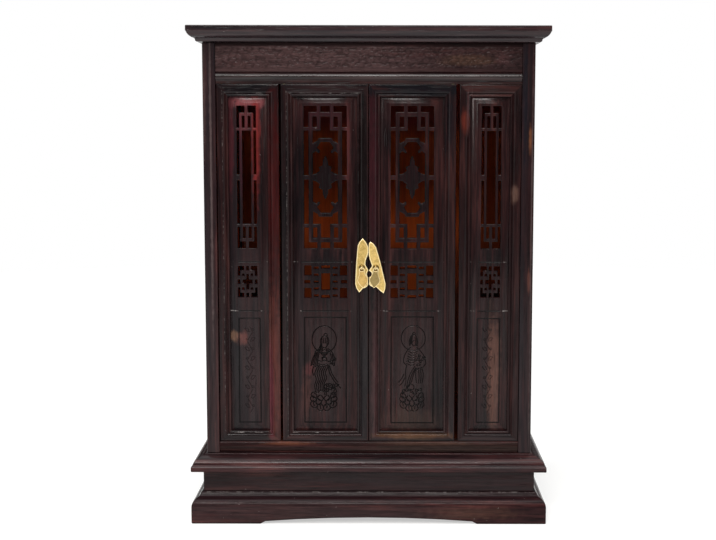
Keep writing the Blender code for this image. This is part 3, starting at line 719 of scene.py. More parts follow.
def leafFrame(leaf):
    x0, x1 = leafSpans[leaf]
    look = leafLook
    sight = (x0 + look["stile"], x1 - look["stile"], look["low"] + look["railLow"],
             look["high"] - look["railHigh"])
    section = leafSection()
    verts = []
    for right, top in ((0, 0), (1, 0), (1, 1), (0, 1)):
        rail = look["railHigh"] if top else look["railLow"]
        for width, depth, outer in section:
            across = look["stile"] + width if outer else width
            along = rail + width if outer else width
            verts.append((sight[right] + (across if right else -across), look["face"] + depth,
                          sight[2 + top] + (along if top else -along)))
    count = len(section)
    faces = []
    for k in range(4):
        for i in range(count):
            j = (i + 1) % count
            a, b = k * count, (k + 1) % 4 * count
            faces.append((a + i, a + j, b + j, b + i))
    mesh = meshFrom(leaf + "Frame", verts, faces)
    onLeft = "left" in leaf  # only the left leaves get painted highlight lines and glints on their side moulding and rail beads
    line, beside, share = look["dustSide"]
    tall = rosewood(leaf + "Stiles", "z", 40 + x0 % 7, leafPatches[leaf], tone=0.75,
                    gloss=0.85 if "fixed" in leaf else 1.05,
                    dusty=[(line, x0 + beside, share)] if onLeft else ())
    wide = rosewood(leaf + "Rails", "x", 47 + x0 % 5, leafPatches[leaf], tone=0.75,
                    gloss=1.1 if onLeft else 1.0, dusty=look["glintRails"] if onLeft else ())
    piece = newObject(pieceName(leaf + "_frame"), mesh, [tall, wide])
    middle = (x0 + x1) / 2
    half = (x1 - x0) / 2
    centre = (look["low"] + look["high"]) / 2
    reach = (look["high"] - look["low"]) / 2
    paintFaces(piece, lambda c, n: 1 if reach - abs(c.z - centre) < half - abs(c.x - middle)
               and abs(c.x - middle) < half - 6 else 0)
    return piece


def rod(name, x, y, z0, z1, radius):
    steps = 24
    ring = oval(x, y, radius, radius, steps)[:-1]
    verts = [(px, py, z) for z in (z0, z1) for px, py in ring]
    return newObject(name, meshFrom(name, verts, tubeFaces(2, steps)), [])


def bored(piece, side):
    # the holes that the door's pins run in
    cutters = []
    for place in ("low", "high"):
        low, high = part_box(side + "_door_pin_" + place)
        middle = (low + high) / 2 / mm
        play = leafLook["pinPlay"]
        cutter = rod("pinCutter", middle.x, middle.y, low.z / mm - play, high.z / mm + play,
                     (high.x - low.x) / 2 / mm + play)
        cut = piece.modifiers.new("pinHole", "BOOLEAN")
        cut.operation = "DIFFERENCE"
        cut.solver = "EXACT"
        cut.object = cutter
        cutters.append(cutter)
    settled(piece)
    for cutter in cutters:
        bpy.data.objects.remove(cutter)


for leaf, body in leafBodies.items():
    piece = leafFrame(leaf)
    if "door" in leaf:
        bored(piece, leaf.split("_")[0])
    else:
        smoothShaded(piece.data)
    parts = [leaf + part for part in ("_stile_left", "_stile_right", "_rail_low", "_rail_high")]
    placed(piece, body, "rosewood", *parts)
print("leaf frames made")


# Fretwork: outlines of openings, and of the bars that cross them, in the panel's plane.

fret = {
    "low": 279.5, "high": 422.0, "lattice": 245.8,
    "door": {
        "half": 21.5,
        "bars": [(4.6, 8.4, 46.8, 72.25), (-0.5, 16.8, 60.6, 65.1), (12.6, 16.8, -0.5, 64.8),
                 (4.6, 22.5, 46.7, 50.2), (16.4, 22.5, -0.2, 2.2)],
        "shapes": [  # a quarter of the cloud and of the rosette
            [(-0.5, 35.4), (-0.5, 39.4), (6.6, 39.4), (7.6, 36.6), (12.9, 33.9), (12.9, 23.8),
             (9.6, 26.3), (6.2, 24.0), (5.4, 26.4), (8.3, 29.6), (6.2, 33.0), (4.6, 35.4)],
            [(-0.4, 21.4), (0.4, 21.4), (2.5, 16.6), (2.8, 12.3), (6.6, 10.4), (5.6, 6.6),
             (9.4, 3.9), (12.9, 2.9), (12.9, -0.2), (-0.4, -0.2)],
        ],
        "openings": [(-0.5, 4.4, -0.5, 8.4), (14.4, 21.5, 6.4, 16.4), (15.6, 21.5, -0.5, 1.6),
                     (7.2, 12.0, 13.0, 15.2), (7.2, 12.0, 6.0, 8.0), (-0.5, 4.4, 13.6, 16.4),
                     (7.2, 12.0, -1.0, 1.0)],
    },
    "side": {
        "half": 9.8,
        "bars": [(-0.5, 1.5, 46.8, 72.25), (-0.5, 7.0, 61.3, 64.3), (4.4, 7.0, -0.5, 64.0),
                 (-0.5, 10.8, 46.7, 49.4), (6.8, 10.8, -0.5, 2.9)],
        "shapes": [],
        "openings": [(-0.5, 1.2, -0.5, 7.8), (-0.5, 4.8, -0.5, 2.1), (3.3, 5.5, 5.9, 8.1),
                     (7.5, 9.8, -0.5, 2.2), (7.5, 9.8, 6.0, 15.8), (3.6, 9.8, 11.4, 15.8),
                     (-0.5, 1.3, 11.4, 15.8)],
    },
}


def rectangle(x0, x1, z0, z1):
    return [(x0, z0), (x1, z0), (x1, z1), (x0, z1)]


def mirrored(shapes, xMiddle, zMiddle):
    # each shape is a quarter of the pattern
    return [[(xMiddle + x * right, zMiddle + z * up) for x, z in shape]
            for shape in shapes for up in (1, -1) for right in (1, -1)]


def pattern(kind, xMiddle):
    drawn = fret[kind]
    half = drawn["half"]
    window = rectangle(xMiddle - half, xMiddle + half, fret["low"], fret["high"])
    bars = [rectangle(*bar) for bar in drawn["bars"]] + drawn["shapes"]
    lattice = [rectangle(*opening) for opening in drawn["openings"]]
    return ([window] + mirrored(lattice, xMiddle, fret["lattice"]),
            mirrored(bars, xMiddle, (fret["low"] + fret["high"]) / 2))


def anticlockwise(shape):
    area = sum(a[0] * b[1] - b[0] * a[1] for a, b in zip(shape, shape[1:] + shape[:1]))
    return shape if area > 0 else shape[::-1]


def flatCells(outline, openings, bars, lines=(), spots=()):
    # triangles over the outline, less the openings, plus the bars; lines and spots add corners
    points = []
    loops = []
    edges = []
    for shape in [outline] + openings + bars:
        loops.append(list(range(len(points), len(points) + len(shape))))
        points += [Vector(p) for p in anticlockwise(shape)]
    for line in lines:
        first = len(points)
        points += [Vector(p) for p in line]
        edges += [(i, i + 1) for i in range(first, len(points) - 1)]
    points += [Vector(p) for p in spots]
    verts, _, faces, _, _, sources = delaunay_2d_cdt(points, edges, loops, 1, 0.0005, True)
    openIds = set(range(1, 1 + len(openings)))
    barIds = set(range(1 + len(openings), len(loops)))
    kept = []
    for face, source in zip(faces, sources):
        found = set(source)
        if 0 in found and (not found & openIds or found & barIds):
            kept.append(tuple(face))
    return [tuple(v) for v in verts], kept


def rimEdges(faces):
    used = {}
    for face in faces:
        for i, a in enumerate(face):
            b = face[(i + 1) % len(face)]
            used.setdefault(frozenset((a, b)), []).append((a, b))
    return [pairs[0] for pairs in used.values() if len(pairs) == 1]


def rimLoops(points, faces):
    # the edges round each opening, joined up and without the points that lie on straight runs
    follow = {a: b for a, b in rimEdges(faces)}
    loops = []
    while follow:
        start, spot = next(iter(follow.items()))
        del follow[start]
        loop = [start]
        while spot in follow:
            loop.append(spot)
            spot = follow.pop(spot)
        loops.append([points[i] for i in loop])
    made = []
    for loop in loops:
        kept = []
        for before, here, after in zip(loop[-1:] + loop, loop, loop[1:] + loop[:1]):
            a = Vector(here) - Vector(before)
            b = Vector(after) - Vector(here)
            if abs(a.x * b.y - a.y * b.x) > 0.01 * a.length * b.length:
                kept.append(here)
        made.append(kept)
    return made


def besideLoop(loop, away):
    # the same loop, moved into the wood
    made = []
    for before, here, after in zip(loop[-1:] + loop, loop, loop[1:] + loop[:1]):
        a = (Vector(here) - Vector(before)).normalized()
        b = (Vector(after) - Vector(here)).normalized()
        turned = Vector((-a.y - b.y, a.x + b.x))
        made.append(tuple(Vector(here) + turned * away / max(0.35, 1.0 + a.dot(b))))
    return made + made[:1]


def awayFrom(points, ends, reach):
    # how far each point is from the nearest of some straight pieces that lie within reach
    grid = np.array(points)
    nearest = np.full(len(grid), 1e9)
    for a, b in ends:
        start = np.array(a)
        run = np.array(b) - start
        length = np.linalg.norm(run)
        box = np.where(np.abs(grid - start - run / 2).max(1) < reach + length)[0]
        offset = grid[box] - start
        share = np.clip((offset @ run) / max(1e-9, length ** 2), 0, 1)[:, None]
        away = np.linalg.norm(offset - share * run, axis=1)
        nearest[box] = np.minimum(nearest[box], away)
    return nearest


# Carved lines. A stroke is a list of points that a smooth line runs through.

def smoothLine(points, closed=False):
    step = 0.6
    pts = [np.array(p, float) for p in points]
    if closed:
        ends = [pts[-1]] + pts + [pts[0], pts[1]]
    else:
        ends = [2 * pts[0] - pts[1]] + pts + [2 * pts[-1] - pts[-2]]
    made = []
    for a, b, c, d in zip(ends, ends[1:], ends[2:], ends[3:]):
        count = max(2, int(np.linalg.norm(c - b) / step))
        for i in range(count):
            t = i / count
            made.append(0.5 * (2 * b + (c - a) * t + (2 * a - 5 * b + 4 * c - d) * t * t
                               + (3 * b - a - 3 * c + d) * t ** 3))
    made.append(pts[0] if closed else pts[-1])
    return [tuple(p) for p in made]


def petal(x, z, wide, high, lean=0.0):
    half = [(0.0, 0.0), (-0.40, 0.20), (-0.50, 0.55), (-0.28, 0.86), (0.0, 1.0), (0.28, 0.86),
            (0.50, 0.55), (0.40, 0.20)]
    return smoothLine([(x + px * wide + lean * pz, z + pz * high) for px, pz in half],
                      closed=True)


def curl(x, z, radius, turns, start, way=1):
    steps = max(8, int(turns * 16))
    made = []
    for i in range(steps + 1):
        share = i / steps
        turn = math.radians(start) + way * math.tau * turns * share
        reach = radius * (1 - 0.82 * share)
        made.append((x + reach * math.cos(turn), z + reach * math.sin(turn)))
    return made


def between(first, last, count):
    # lines spread evenly from one line to another with as many points
    return [[((1 - t) * a[0] + t * b[0], (1 - t) * a[1] + t * b[1])
             for a, b in zip(first, last)] for t in (i / (count - 1) for i in range(count))]


def leafMark(x, z, size, angle):
    c, s = math.cos(math.radians(angle)), math.sin(math.radians(angle))
    tip = (x + size * c, z + size * s)
    return [[(x, z), (x + size * (0.5 * c - way * 0.28 * s), z + size * (0.5 * s + way * 0.28 * c)),
             tip] for way in (1, -1)]


def spray(x0, x1, z0, z1, count, size, lean):
    # leaves that lie over each other
    made = []
    for i in range(count):
        x = x0 + (x1 - x0) * (i * 0.755 % 1)
        z = z0 + (z1 - z0) * (i * 0.570 % 1)
        made += leafMark(x, z, size * (0.8 + 0.4 * (i * 0.73 % 1)), lean + 70 * math.sin(i * 2.4))
    return made


def lotusSeat(x, low, half, rise):
    # three rows of wide petals, each with a vein, that open outwards like a bowl
    made = []
    for level, count, wide, tall in ((0.0, 4, 0.50, 0.42), (0.30, 5, 0.42, 0.38),
                                     (0.58, 4, 0.40, 0.34)):
        for i in range(count):
            s = 2 * (i + 0.5) / count - 1
            root = (x + half * s * 0.84, low + rise * (level + 0.34 * s * s))
            lean = half * 0.22 * s
            made.append(petal(*root, half * wide, rise * tall, lean))
            if level < 0.3:
                made.append([(root[0] + lean * 0.3, root[1] + rise * tall * 0.3),
                             (root[0] + lean * 0.7, root[1] + rise * tall * 0.7)])
    return made


# Millimetres from the middle of the ring behind the head. Folds are spread between two lines.

figures = {
    "left": {
        "middle": (-45.3, 187),
        "lines": [
            [(-3.4, -5), (-3.8, -0.6), (-1.6, 2.8), (1.4, 3.2), (3.9, 1.5), (4.6, -2), (3.8, -5.4)],
            [(-2.6, -4.6), (-2.2, -7.2), (0.3, -8.8), (2.6, -7), (3.1, -4.4)],
            [(-3.6, -9.2), (-7.8, -11.4), (-10.2, -16), (-12.2, -21), (-13.8, -27.2)],
            [(-13.8, -27.2), (-11.4, -25.6), (-9.6, -28.2), (-7.6, -26.2), (-5.6, -28.4)],
            [(3.4, -9.4), (7, -11.8), (9.4, -16.4), (10.6, -21.4), (10.2, -26.2)],
            [(-1.6, -8.6), (-2.2, -10.6), (-4.6, -12.2), (-1.8, -16), (2.6, -19.4)],
            [(1.8, -8.6), (2.2, -10.4), (4.6, -12.2), (1.4, -16.2), (-2.8, -19.2)],
            [(-7.4, -21), (-3.4, -22.6), (0.6, -21.4), (4.4, -22.8), (8.4, -21.6)],
            [(-5.8, -25), (-2.2, -26.4), (2.2, -25.6), (4.6, -27)],
            [(-5.6, -26.8), (-2, -28.2), (2.6, -27.2), (4.8, -28.8)],
            [(-9.8, -53.6), (-7, -54.8), (-4.4, -53.2), (-0.8, -54)],
            [(3.8, -28), (5.4, -34), (8.6, -40.6), (12.6, -46), (16.6, -50.2)],
            [(5.4, -27.6), (7.6, -34.6), (11.2, -40.8), (13.8, -44.2)],
            [(-11, -28.4), (-12.2, -33), (-10.8, -37)],
        ],
        "folds": [
            ([(-2.2, 1.4), (-2.4, -1.8), (-2.2, -4.2)], [(2.8, 1.4), (3, -1.4), (2.6, -4)], 4),
            ([(-3.6, -4.6), (-4.8, -8.4), (-7.2, -12)],
             [(-2.6, -6.6), (-3.4, -9.8), (-5, -13)], 3),
            ([(-8.4, -13), (-10.4, -19.5), (-12.2, -26.2)],
             [(-5, -13.5), (-6.2, -19), (-7.2, -25.6)], 4),
            ([(5.6, -13), (7, -18), (6.2, -23.4)], [(8, -15.5), (8.8, -20), (8.4, -25)], 2),
            ([(-7.2, -28.4), (-9.6, -35), (-8.2, -41), (-9.8, -47), (-9, -53)],
             [(3.4, -28.6), (1.2, -34), (2.2, -40), (-0.4, -46), (-0.6, -53)], 6),
        ],
        "ovals": [(0, 0, 12.4, 13.8), (1.4, 4.4, 1.7, 1.5), (0.2, -12.6, 2.7, 1.7),
                  (0, -15, 0.8, 0.8), (-2.4, -14, 0.7, 0.7), (2.6, -14, 0.7, 0.7),
                  (0.2, -20.4, 2.2, 1.5), (0, -17.6, 0.8, 0.9)],
        "sprays": [(0, 13, -57, -46, 12, 4.6, 50), (6, 11, -25, -20, 3, 3.4, 10)],
        "seat": (-0.8, -74, 13.8, 17.5),
    },
    "right": {
        "middle": (45, 188.4),
        "lines": [
            [(-3.4, -8), (-4, -3), (-2.4, 1.6), (0.4, 3.6), (3.2, 1.2), (4.4, -3), (3.8, -8.4)],
            [(-1, -3.6), (-1.2, -6), (0.6, -8), (2.2, -6.4), (2.4, -3.4)],
            [(-1, -3.4), (0.8, -2.6), (2.4, -3.2)],
            [(-2.6, -9.2), (-6.2, -13), (-8.8, -18), (-9.8, -24), (-7.4, -27.6)],
            [(3.6, -9.6), (7.6, -13.6), (11.2, -19), (12.6, -25.6), (9.8, -30)],
            [(1.9, -28.5), (-2.6, -36), (-5.4, -44), (-7, -52.2)],
            [(2.3, -30.4), (-1.4, -38), (-3.8, -45.6), (-5, -51)],
            [(2.6, -30.6), (0, -38.6), (-1.8, -45), (-4.4, -50)],
            [(3, -31), (2.6, -38.4), (3.4, -46)],
            [(-6.6, -27.6), (-7.8, -36), (-7.4, -44), (-8.6, -50)],
            [(-9.4, -37), (-12, -42), (-15, -45.6)],
            [(-8.6, -41), (-10.8, -45.4), (-13.6, -48.8)],
            [(-6.4, -24), (-2.2, -22.4), (2.6, -23.4)],
        ],
        "folds": [
            ([(-2.6, 0.6), (-3, -3), (-2.6, -7.4)], [(-0.8, 2.4), (-1.4, -1.2), (-1.4, -4.6)], 3),
            ([(1.8, 0.8), (2.8, -3.6), (2.4, -7.8)], [(3.2, 0), (4, -4), (3.4, -8.4)], 2),
            ([(-4.6, -13.6), (0, -15.6), (4.4, -13.2)],
             [(-6.6, -26), (-1.6, -28.2), (1.6, -26.4)], 6),
            ([(5.4, -33), (6, -39), (5.2, -46.8)], [(9.6, -33), (10.2, -38), (9.2, -46)], 3),
        ],
        "ovals": [(0, 0, 12.2, 12.8), (-2.4, -50.6, 3.4, 3), (0.6, 4.4, 1.3, 1.4)],
        "sprays": [(3, 11, -32, -17, 9, 3.6, 20), (-11, 10, -58, -54, 8, 4, 80)],
        "seat": (-1.2, -76, 12.6, 18),
    },
}


def figureStrokes(side):
    drawn = figures[side]
    made = list(drawn["lines"])
    for first, last, count in drawn["folds"]:
        made += between(first, last, count)
    for values in drawn["sprays"]:
        made += spray(*values)
    made = [smoothLine(line) for line in made]
    made += [oval(*values) for values in drawn["ovals"]]
    made += lotusSeat(*drawn["seat"])
    x0, z0 = drawn["middle"]
    return [[(x0 + x, z0 + z) for x, z in line] for line in made]


vine = {"low": 112.0, "high": 200.0, "leaves": 9, "sway": 2.4, "leafSize": 4.6}


def vineStrokes(x):
    # a climbing stem with leaves on either side in turn
    low = vine["low"]
    count = vine["leaves"]
    pitch = (vine["high"] - low) / count
    stem = [(x + vine["sway"] * math.sin(math.pi * i / 2), low + pitch * i / 2)
            for i in range(2 * count + 1)]
    made = [smoothLine(stem)]
    for i in range(count):
        way = 1 if i % 2 else -1
        root = (x + way * 0.6, low + pitch * (i + 0.5))
        tip = (root[0] + way * vine["leafSize"], root[1] + 3.4)
        bend = (0.5 * (root[0] + tip[0]), root[1] + 0.2)
        top = (0.5 * (root[0] + tip[0]) - way * 0.8, root[1] + 3.4)
        made += [smoothLine([root, bend, tip]), smoothLine([root, top, tip])]
        made.append(curl(x - way * 3.0, root[1] + 1.6, 1.5, 1.1, 0 if way > 0 else 180, way))
    return made


panelLook = {
    "ease": 0.5,           # the sawn edges are rounded by this much
    "loose": 0.3,          # between the panel's tongue and its groove
    "lineEnd": 1.2,        # from the field's edge to the end of a line across it
    "grooveWide": 1.5, "grooveDeep": 0.45,
    "strokeWide": 0.95, "strokeDeep": 0.7, "grid": 0.28,
    "band": 1.15,          # corners stand this near to a stroke
    "border": 2.0,         # of the fine grid, round the strokes
    "flank": 0.25,         # from a groove's edge to the line that keeps the field flat
    "hollow": 0.08, "step": 0.05,  # of the slope round the field
}
grooveLevels = (265.7, 216.0)
panels = {
    "left_fixed": {"pattern": pattern("side", -122.3), "frame": (-131.6, -110.0, 101.5, 208.5),
                   "strokes": vineStrokes(-120.6), "strength": 0.22},
    "left_door": {"pattern": pattern("door", -43.6), "frame": (-65.2, -23.0, 101.5, 209.5),
                  "strokes": figureStrokes("left"), "strength": 0.85},
    "right_door": {"pattern": pattern("door", 43.4), "frame": (22.5, 65.3, 101.0, 210.0),
                   "strokes": figureStrokes("right"), "strength": 0.6},
    "right_fixed": {"pattern": pattern("side", 122.4), "frame": (109.6, 132.4, 101.5, 208.5),
                    "strokes": vineStrokes(120.4), "strength": 0.28},
}


# Geometry Nodes: carving that follows the strokes.

def newTree(name, inputs):
    tree = bpy.data.node_groups.new(name, "GeometryNodeTree")
    tree.interface.new_socket("Geometry", in_out="OUTPUT", socket_type="NodeSocketGeometry")
    tree.interface.new_socket("Geometry", in_out="INPUT", socket_type="NodeSocketGeometry")
    for label, kind in inputs.items():
        tree.interface.new_socket(label, in_out="INPUT", socket_type="NodeSocket" + kind)
    build = Maker(tree)
    source = build.node("NodeGroupInput")
    return tree, build, source


def flatDistance(build, lines):
    # the coordinates of each point, and how far it is from lines that lie at y = 0
    parts = build.split(build.node("GeometryNodeInputPosition"))
    flat = build.point(X=parts, Z=parts.output("Z"))
    return parts, build.node("GeometryNodeProximity", {"target_element": "EDGES"},
                             {0: lines, "Sample Position": flat}, out="Distance")


def finishTree(build, source, inwards, cut):
    # moves the points, keeps how deep they are cut for the finish, and ends the tree
    moved = build.node("GeometryNodeSetPosition", {}, {"Geometry": source.output("Geometry"),
                                                       "Offset": build.point(Y=inwards)})
    kept = build.node("GeometryNodeStoreNamedAttribute", {"data_type": "FLOAT"},
                      {"Geometry": moved, "Name": "cut", "Value": cut})
    real = build.node("GeometryNodeRealizeInstances", {}, {"Geometry": kept})
    coated = build.node("GeometryNodeSetMaterial", {}, {"Geometry": real,
                                                        "Material": source.output("Finish")})
    build.node("NodeGroupOutput", {}, {"Geometry": coated})


def useTree(piece, tree, values):
    modifier = piece.modifiers.new(tree.name, "NODES")
    modifier.node_group = tree
    for item in tree.interface.items_tree:
        if item.in_out == "INPUT" and item.name in values:
            modifier[item.identifier] = values[item.name]


def carvingTree():
    tree, build, source = newTree("strokeCarving", {
        "Strokes": "Object", "Front": "Float", "Width": "Float", "Depth": "Float",
        "Strength": "Float", "Finish": "Material"})
    strokes = build.node("GeometryNodeObjectInfo", {}, {"Object": source.output("Strokes")},
                         out="Geometry")
    parts, away = flatDistance(build, strokes)
    front = parts.output("Y") < source.output("Front")
    width = source.output("Width")
    share = (1.0 - build.rise(away, width * 0.1, width * 0.55)) * front
    share = share * source.output("Strength")
    groove = build.node("GeometryNodeInputNamedAttribute", {"data_type": "FLOAT"},
                        {"Name": "groove"})
    finishTree(build, source, share * source.output("Depth"), share.most(groove))
    return tree


def strokeObject(name, strokes):
    verts = []
    edges = []
    for line in strokes:
        first = len(verts)
        verts += [(x * mm, 0.0, z * mm) for x, z in line]
        edges += [(i, i + 1) for i in range(first, len(verts) - 1)]
    mesh = bpy.data.meshes.new(name)
    mesh.from_pydata(verts, edges, [])
    made = bpy.data.objects.new(name, mesh)
    bpy.context.scene.collection.objects.link(made)
    return made


def spotsNear(strokes, pitch, band):
    # the corners of a fine grid that lie close to a stroke
    ends = [pair for line in strokes for pair in zip(line, line[1:])]
    low = np.array(ends).reshape(-1, 2).min(0) - panelLook["border"]
    high = np.array(ends).reshape(-1, 2).max(0) + panelLook["border"]
    across = np.arange(low[0], high[0], pitch)
    up = np.arange(low[1], high[1], pitch)
    grid = np.array(np.meshgrid(across, up)).reshape(2, -1).T
    return [tuple(p) for p in grid[awayFrom(grid, ends, band) < band]]


def grooveLines(levels, outer, frameBox, wide):
    # three lines for each groove, the middle one is pressed in
    half = wide / 2
    flank = half + panelLook["flank"]
    x0, x1 = outer
    a, b = x0 + half, x1 - half
    sides = []
    middles = []
    for z in levels:
        sides += [[(a, z - flank), (b, z - flank)], [(a, z + flank), (b, z + flank)],
                  [(x0, z), (a, z - half), (b, z - half), (x1, z), (b, z + half),
                   (a, z + half), (x0, z)]]
        middles.append([(a, z), (b, z)])
    x0, x1, z0, z1 = frameBox
    for grow, into in ((flank, sides), (half, sides), (0.0, middles), (-half, sides),
                       (-flank, sides)):
        box = rectangle(x0 - grow, x1 + grow, z0 - grow, z1 + grow)
        into.append(box + box[:1])
    return sides, middles


def onLine(point, line):
    for (ax, az), (bx, bz) in zip(line, line[1:]):
        if (min(ax, bx) - 1e-3 <= point[0] <= max(ax, bx) + 1e-3
                and min(az, bz) - 1e-3 <= point[1] <= max(az, bz) + 1e-3):
            return True
    return False


def carvedPanel(leaf, tree):
    look = leafLook
    drawn = panels[leaf]
    x0, x1 = leafSpans[leaf]
    front = look["face"] + look["fieldDepth"]
    loose = panelLook["loose"]
    shoulder = look["face"] + look["grooveFront"] + loose
    back = look["face"] + look["grooveBack"] - loose
    openings, bars = drawn["pattern"]
    ease = panelLook["ease"]
    wide = panelLook["grooveWide"]
    margin = look["margin"]
    inset = margin + look["slope"] + ease

    def ring(out):
        return rectangle(x0 + look["stile"] - out, x1 - look["stile"] + out,
                         look["low"] + look["railLow"] - out,
                         look["high"] - look["railHigh"] + out)

    field = ring(-inset)
    edge = ring(look["grooveDeep"] - loose)
    (left, low), _, (right, high), _ = field

    def inside(p):
        return left + 1e-3 < p[0] < right - 1e-3 and low + 1e-3 < p[1] < high - 1e-3

    # the field's corners: round each opening, beside each groove and near each stroke
    rough, coarse = flatCells(field, openings, bars)
    loops = [loop for loop in rimLoops(rough, coarse) if all(inside(p) for p in loop)]
    rounds = [besideLoop(loop, ease * share) for loop in loops for share in (0.3, 1.0, 1.5)]
    flat = ring(-inset - 0.4)
    rounds.append(flat + flat[:1])
    end = panelLook["lineEnd"]
    sides, middles = grooveLines(grooveLevels, (left + end, right - end), drawn["frame"], wide)
    a, b, c, d = drawn["frame"]
    clear = wide * 0.6
    spots = [(x, z) for x, z in spotsNear(drawn["strokes"], panelLook["grid"], panelLook["band"])
             if min(abs(x - a), abs(x - b), abs(z - c), abs(z - d)) > clear]
    points, cells = flatCells(field, openings, bars, sides + middles + rounds, spots)
    ends = [pair for loop in loops for pair in zip(loop, loop[1:] + loop[:1])]
    away = np.full(len(points), 9.0)
    upper = [i for i, p in enumerate(points) if p[1] > grooveLevels[1] + 2]
    away[upper] = awayFrom([points[i] for i in upper], ends, 2 * ease)
    verts = []
    groove = []
    for (x, z), near in zip(points, away):
        pressed = any(onLine((x, z), line) for line in middles)
        groove.append(1.0 if pressed else 0.0)
        sunk = ease - math.sqrt(max(0.0, ease ** 2 - max(0.0, ease - near) ** 2))
        verts.append((x, front + sunk + (panelLook["grooveDeep"] if pressed else 0.0), z))
    faces = [tuple(cell) for cell in cells]
    rims = [(points[p], points[q]) for p, q in rimEdges(cells)]

    # the back, the walls of the openings, and the slope and the tongue round the field
    backPoints, backCells = flatCells(edge, openings, bars)
    base = len(verts)
    verts += [(x, back, z) for x, z in backPoints]
    faces += [tuple(base + i for i in cell) for cell in backCells]

    def wall(p, q, yUpper, r, s, yLower):
        base = len(verts)
        verts.extend([(p[0], yUpper, p[1]), (q[0], yUpper, q[1]),
                      (r[0], yLower, r[1]), (s[0], yLower, s[1])])
        faces.append(tuple(range(base, base + 4)))

    for p, q in rims:
        if inside(p) or inside(q):
            wall(p, q, front + ease, q, p, back)
    steps = [(field, front), (ring(ease * 0.6 - inset), front + 0.08)]
    for share in (0.02, 0.25, 0.5, 0.75):  # the slope round the field is slightly hollow
        bowed = share + panelLook["step"] + panelLook["hollow"] * math.sin(math.pi * share)
        drop = (shoulder - front) * bowed
        steps.append((ring(-margin - look["slope"] * (1 - share)), front + drop))
    steps += [(ring(-margin), shoulder), (edge, shoulder), (edge, back)]
    for (upperRing, yUpper), (lowerRing, yLower) in zip(steps, steps[1:]):
        for i in range(4):
            j = (i + 1) % 4
            wall(upperRing[i], upperRing[j], yUpper, lowerRing[j], lowerRing[i], yLower)
    groove += [0.0] * (len(verts) - len(groove))

    name = pieceName(leaf + "_panel")
    mesh = meshFrom(name, verts, faces, 0.01, groove)
    door = "door" in leaf
    # the pale lines along the two grooves across each panel are partly dust in the grooves, partly
    # painted highlights on their edges
    finish = rosewood(leaf + "PanelWood", "z", 60 + x1 % 9, panelPatches[leaf], carved=True,
                      tone=0.95, gloss=0.8 if door else 1.0, specks=0.001,
                      dusty=[("z", level, 0.75) for level in grooveLevels])
    piece = newObject(name, mesh, [finish])
    strokes = strokeObject(leaf + "Strokes", drawn["strokes"])
    useTree(piece, tree, {"Strokes": strokes, "Front": (front + 1) * mm,
                          "Width": panelLook["strokeWide"] * mm,
                          "Depth": panelLook["strokeDeep"] * mm,
                          "Strength": drawn["strength"], "Finish": finish})
    settled(piece, 50)
    bpy.data.objects.remove(strokes)
    return piece


carving = carvingTree()
for leaf, body in leafBodies.items():
    piece = carvedPanel(leaf, carving)
    placed(piece, body, "rosewood", leaf + "_panel")
    print(leaf, "panel made,", len(piece.data.polygons), "faces")


# The frieze: a board carved with rows of small, shallow scrolls.

friezeLook = {
    "box": (-152.0, 152.0, 455.5, 483.9), "front": -118.8, "back": -108.0,
    "stepX": 0.52, "stepZ": 0.45,
    "middle": 468.6, "length": 290.0, "scrolls": 170, "seed": 5,
    "rows": 4, "rowPitch": 5.2, "strayX": 1.2, "strayZ": 1.4,
    "spiral": (0.4, 3.0), "turns": 0.7, "sizes": (0.6, 1.25),
    "lean": 0.7, "wider": 1.15, "flatter": 0.5,  # how much each scroll is turned and stretched
    "ridge": 1.5, "height": 0.30, "edgeLow": (-11.8, -9.5), "edgeHigh": (9.8, 11.8),
    "rough": 190.0, "swell": 330.0, "swellBand": (0.44, 0.60), "carved": 0.55,
    "tint": 0.17,
}


def gridBoard(name, bounds, front, back, stepX, stepZ):
    x0, x1, z0, z1 = bounds
    columns = int((x1 - x0) / stepX)
    rows = int((z1 - z0) / stepZ)
    verts = [(x0 + (x1 - x0) * i / columns, front, z0 + (z1 - z0) * j / rows)
             for j in range(rows + 1) for i in range(columns + 1)]
    wide = columns + 1
    faces = [(j * wide + i, j * wide + i + 1, (j + 1) * wide + i + 1, (j + 1) * wide + i)
             for j in range(rows) for i in range(columns)]
    base = len(verts)
    verts += [(x, back, z) for x, z in rectangle(x0, x1, z0, z1)]
    low = list(range(wide))
    high = [rows * wide + i for i in range(wide)]
    left = [j * wide for j in range(rows + 1)]
    right = [j * wide + columns for j in range(rows + 1)]
    faces += [tuple(low + [base + 1, base]), tuple(high + [base + 2, base + 3]),
              tuple(left + [base + 3, base]), tuple(right + [base + 2, base + 1]),
              (base, base + 1, base + 2, base + 3)]
    return meshFrom(name, verts, faces)


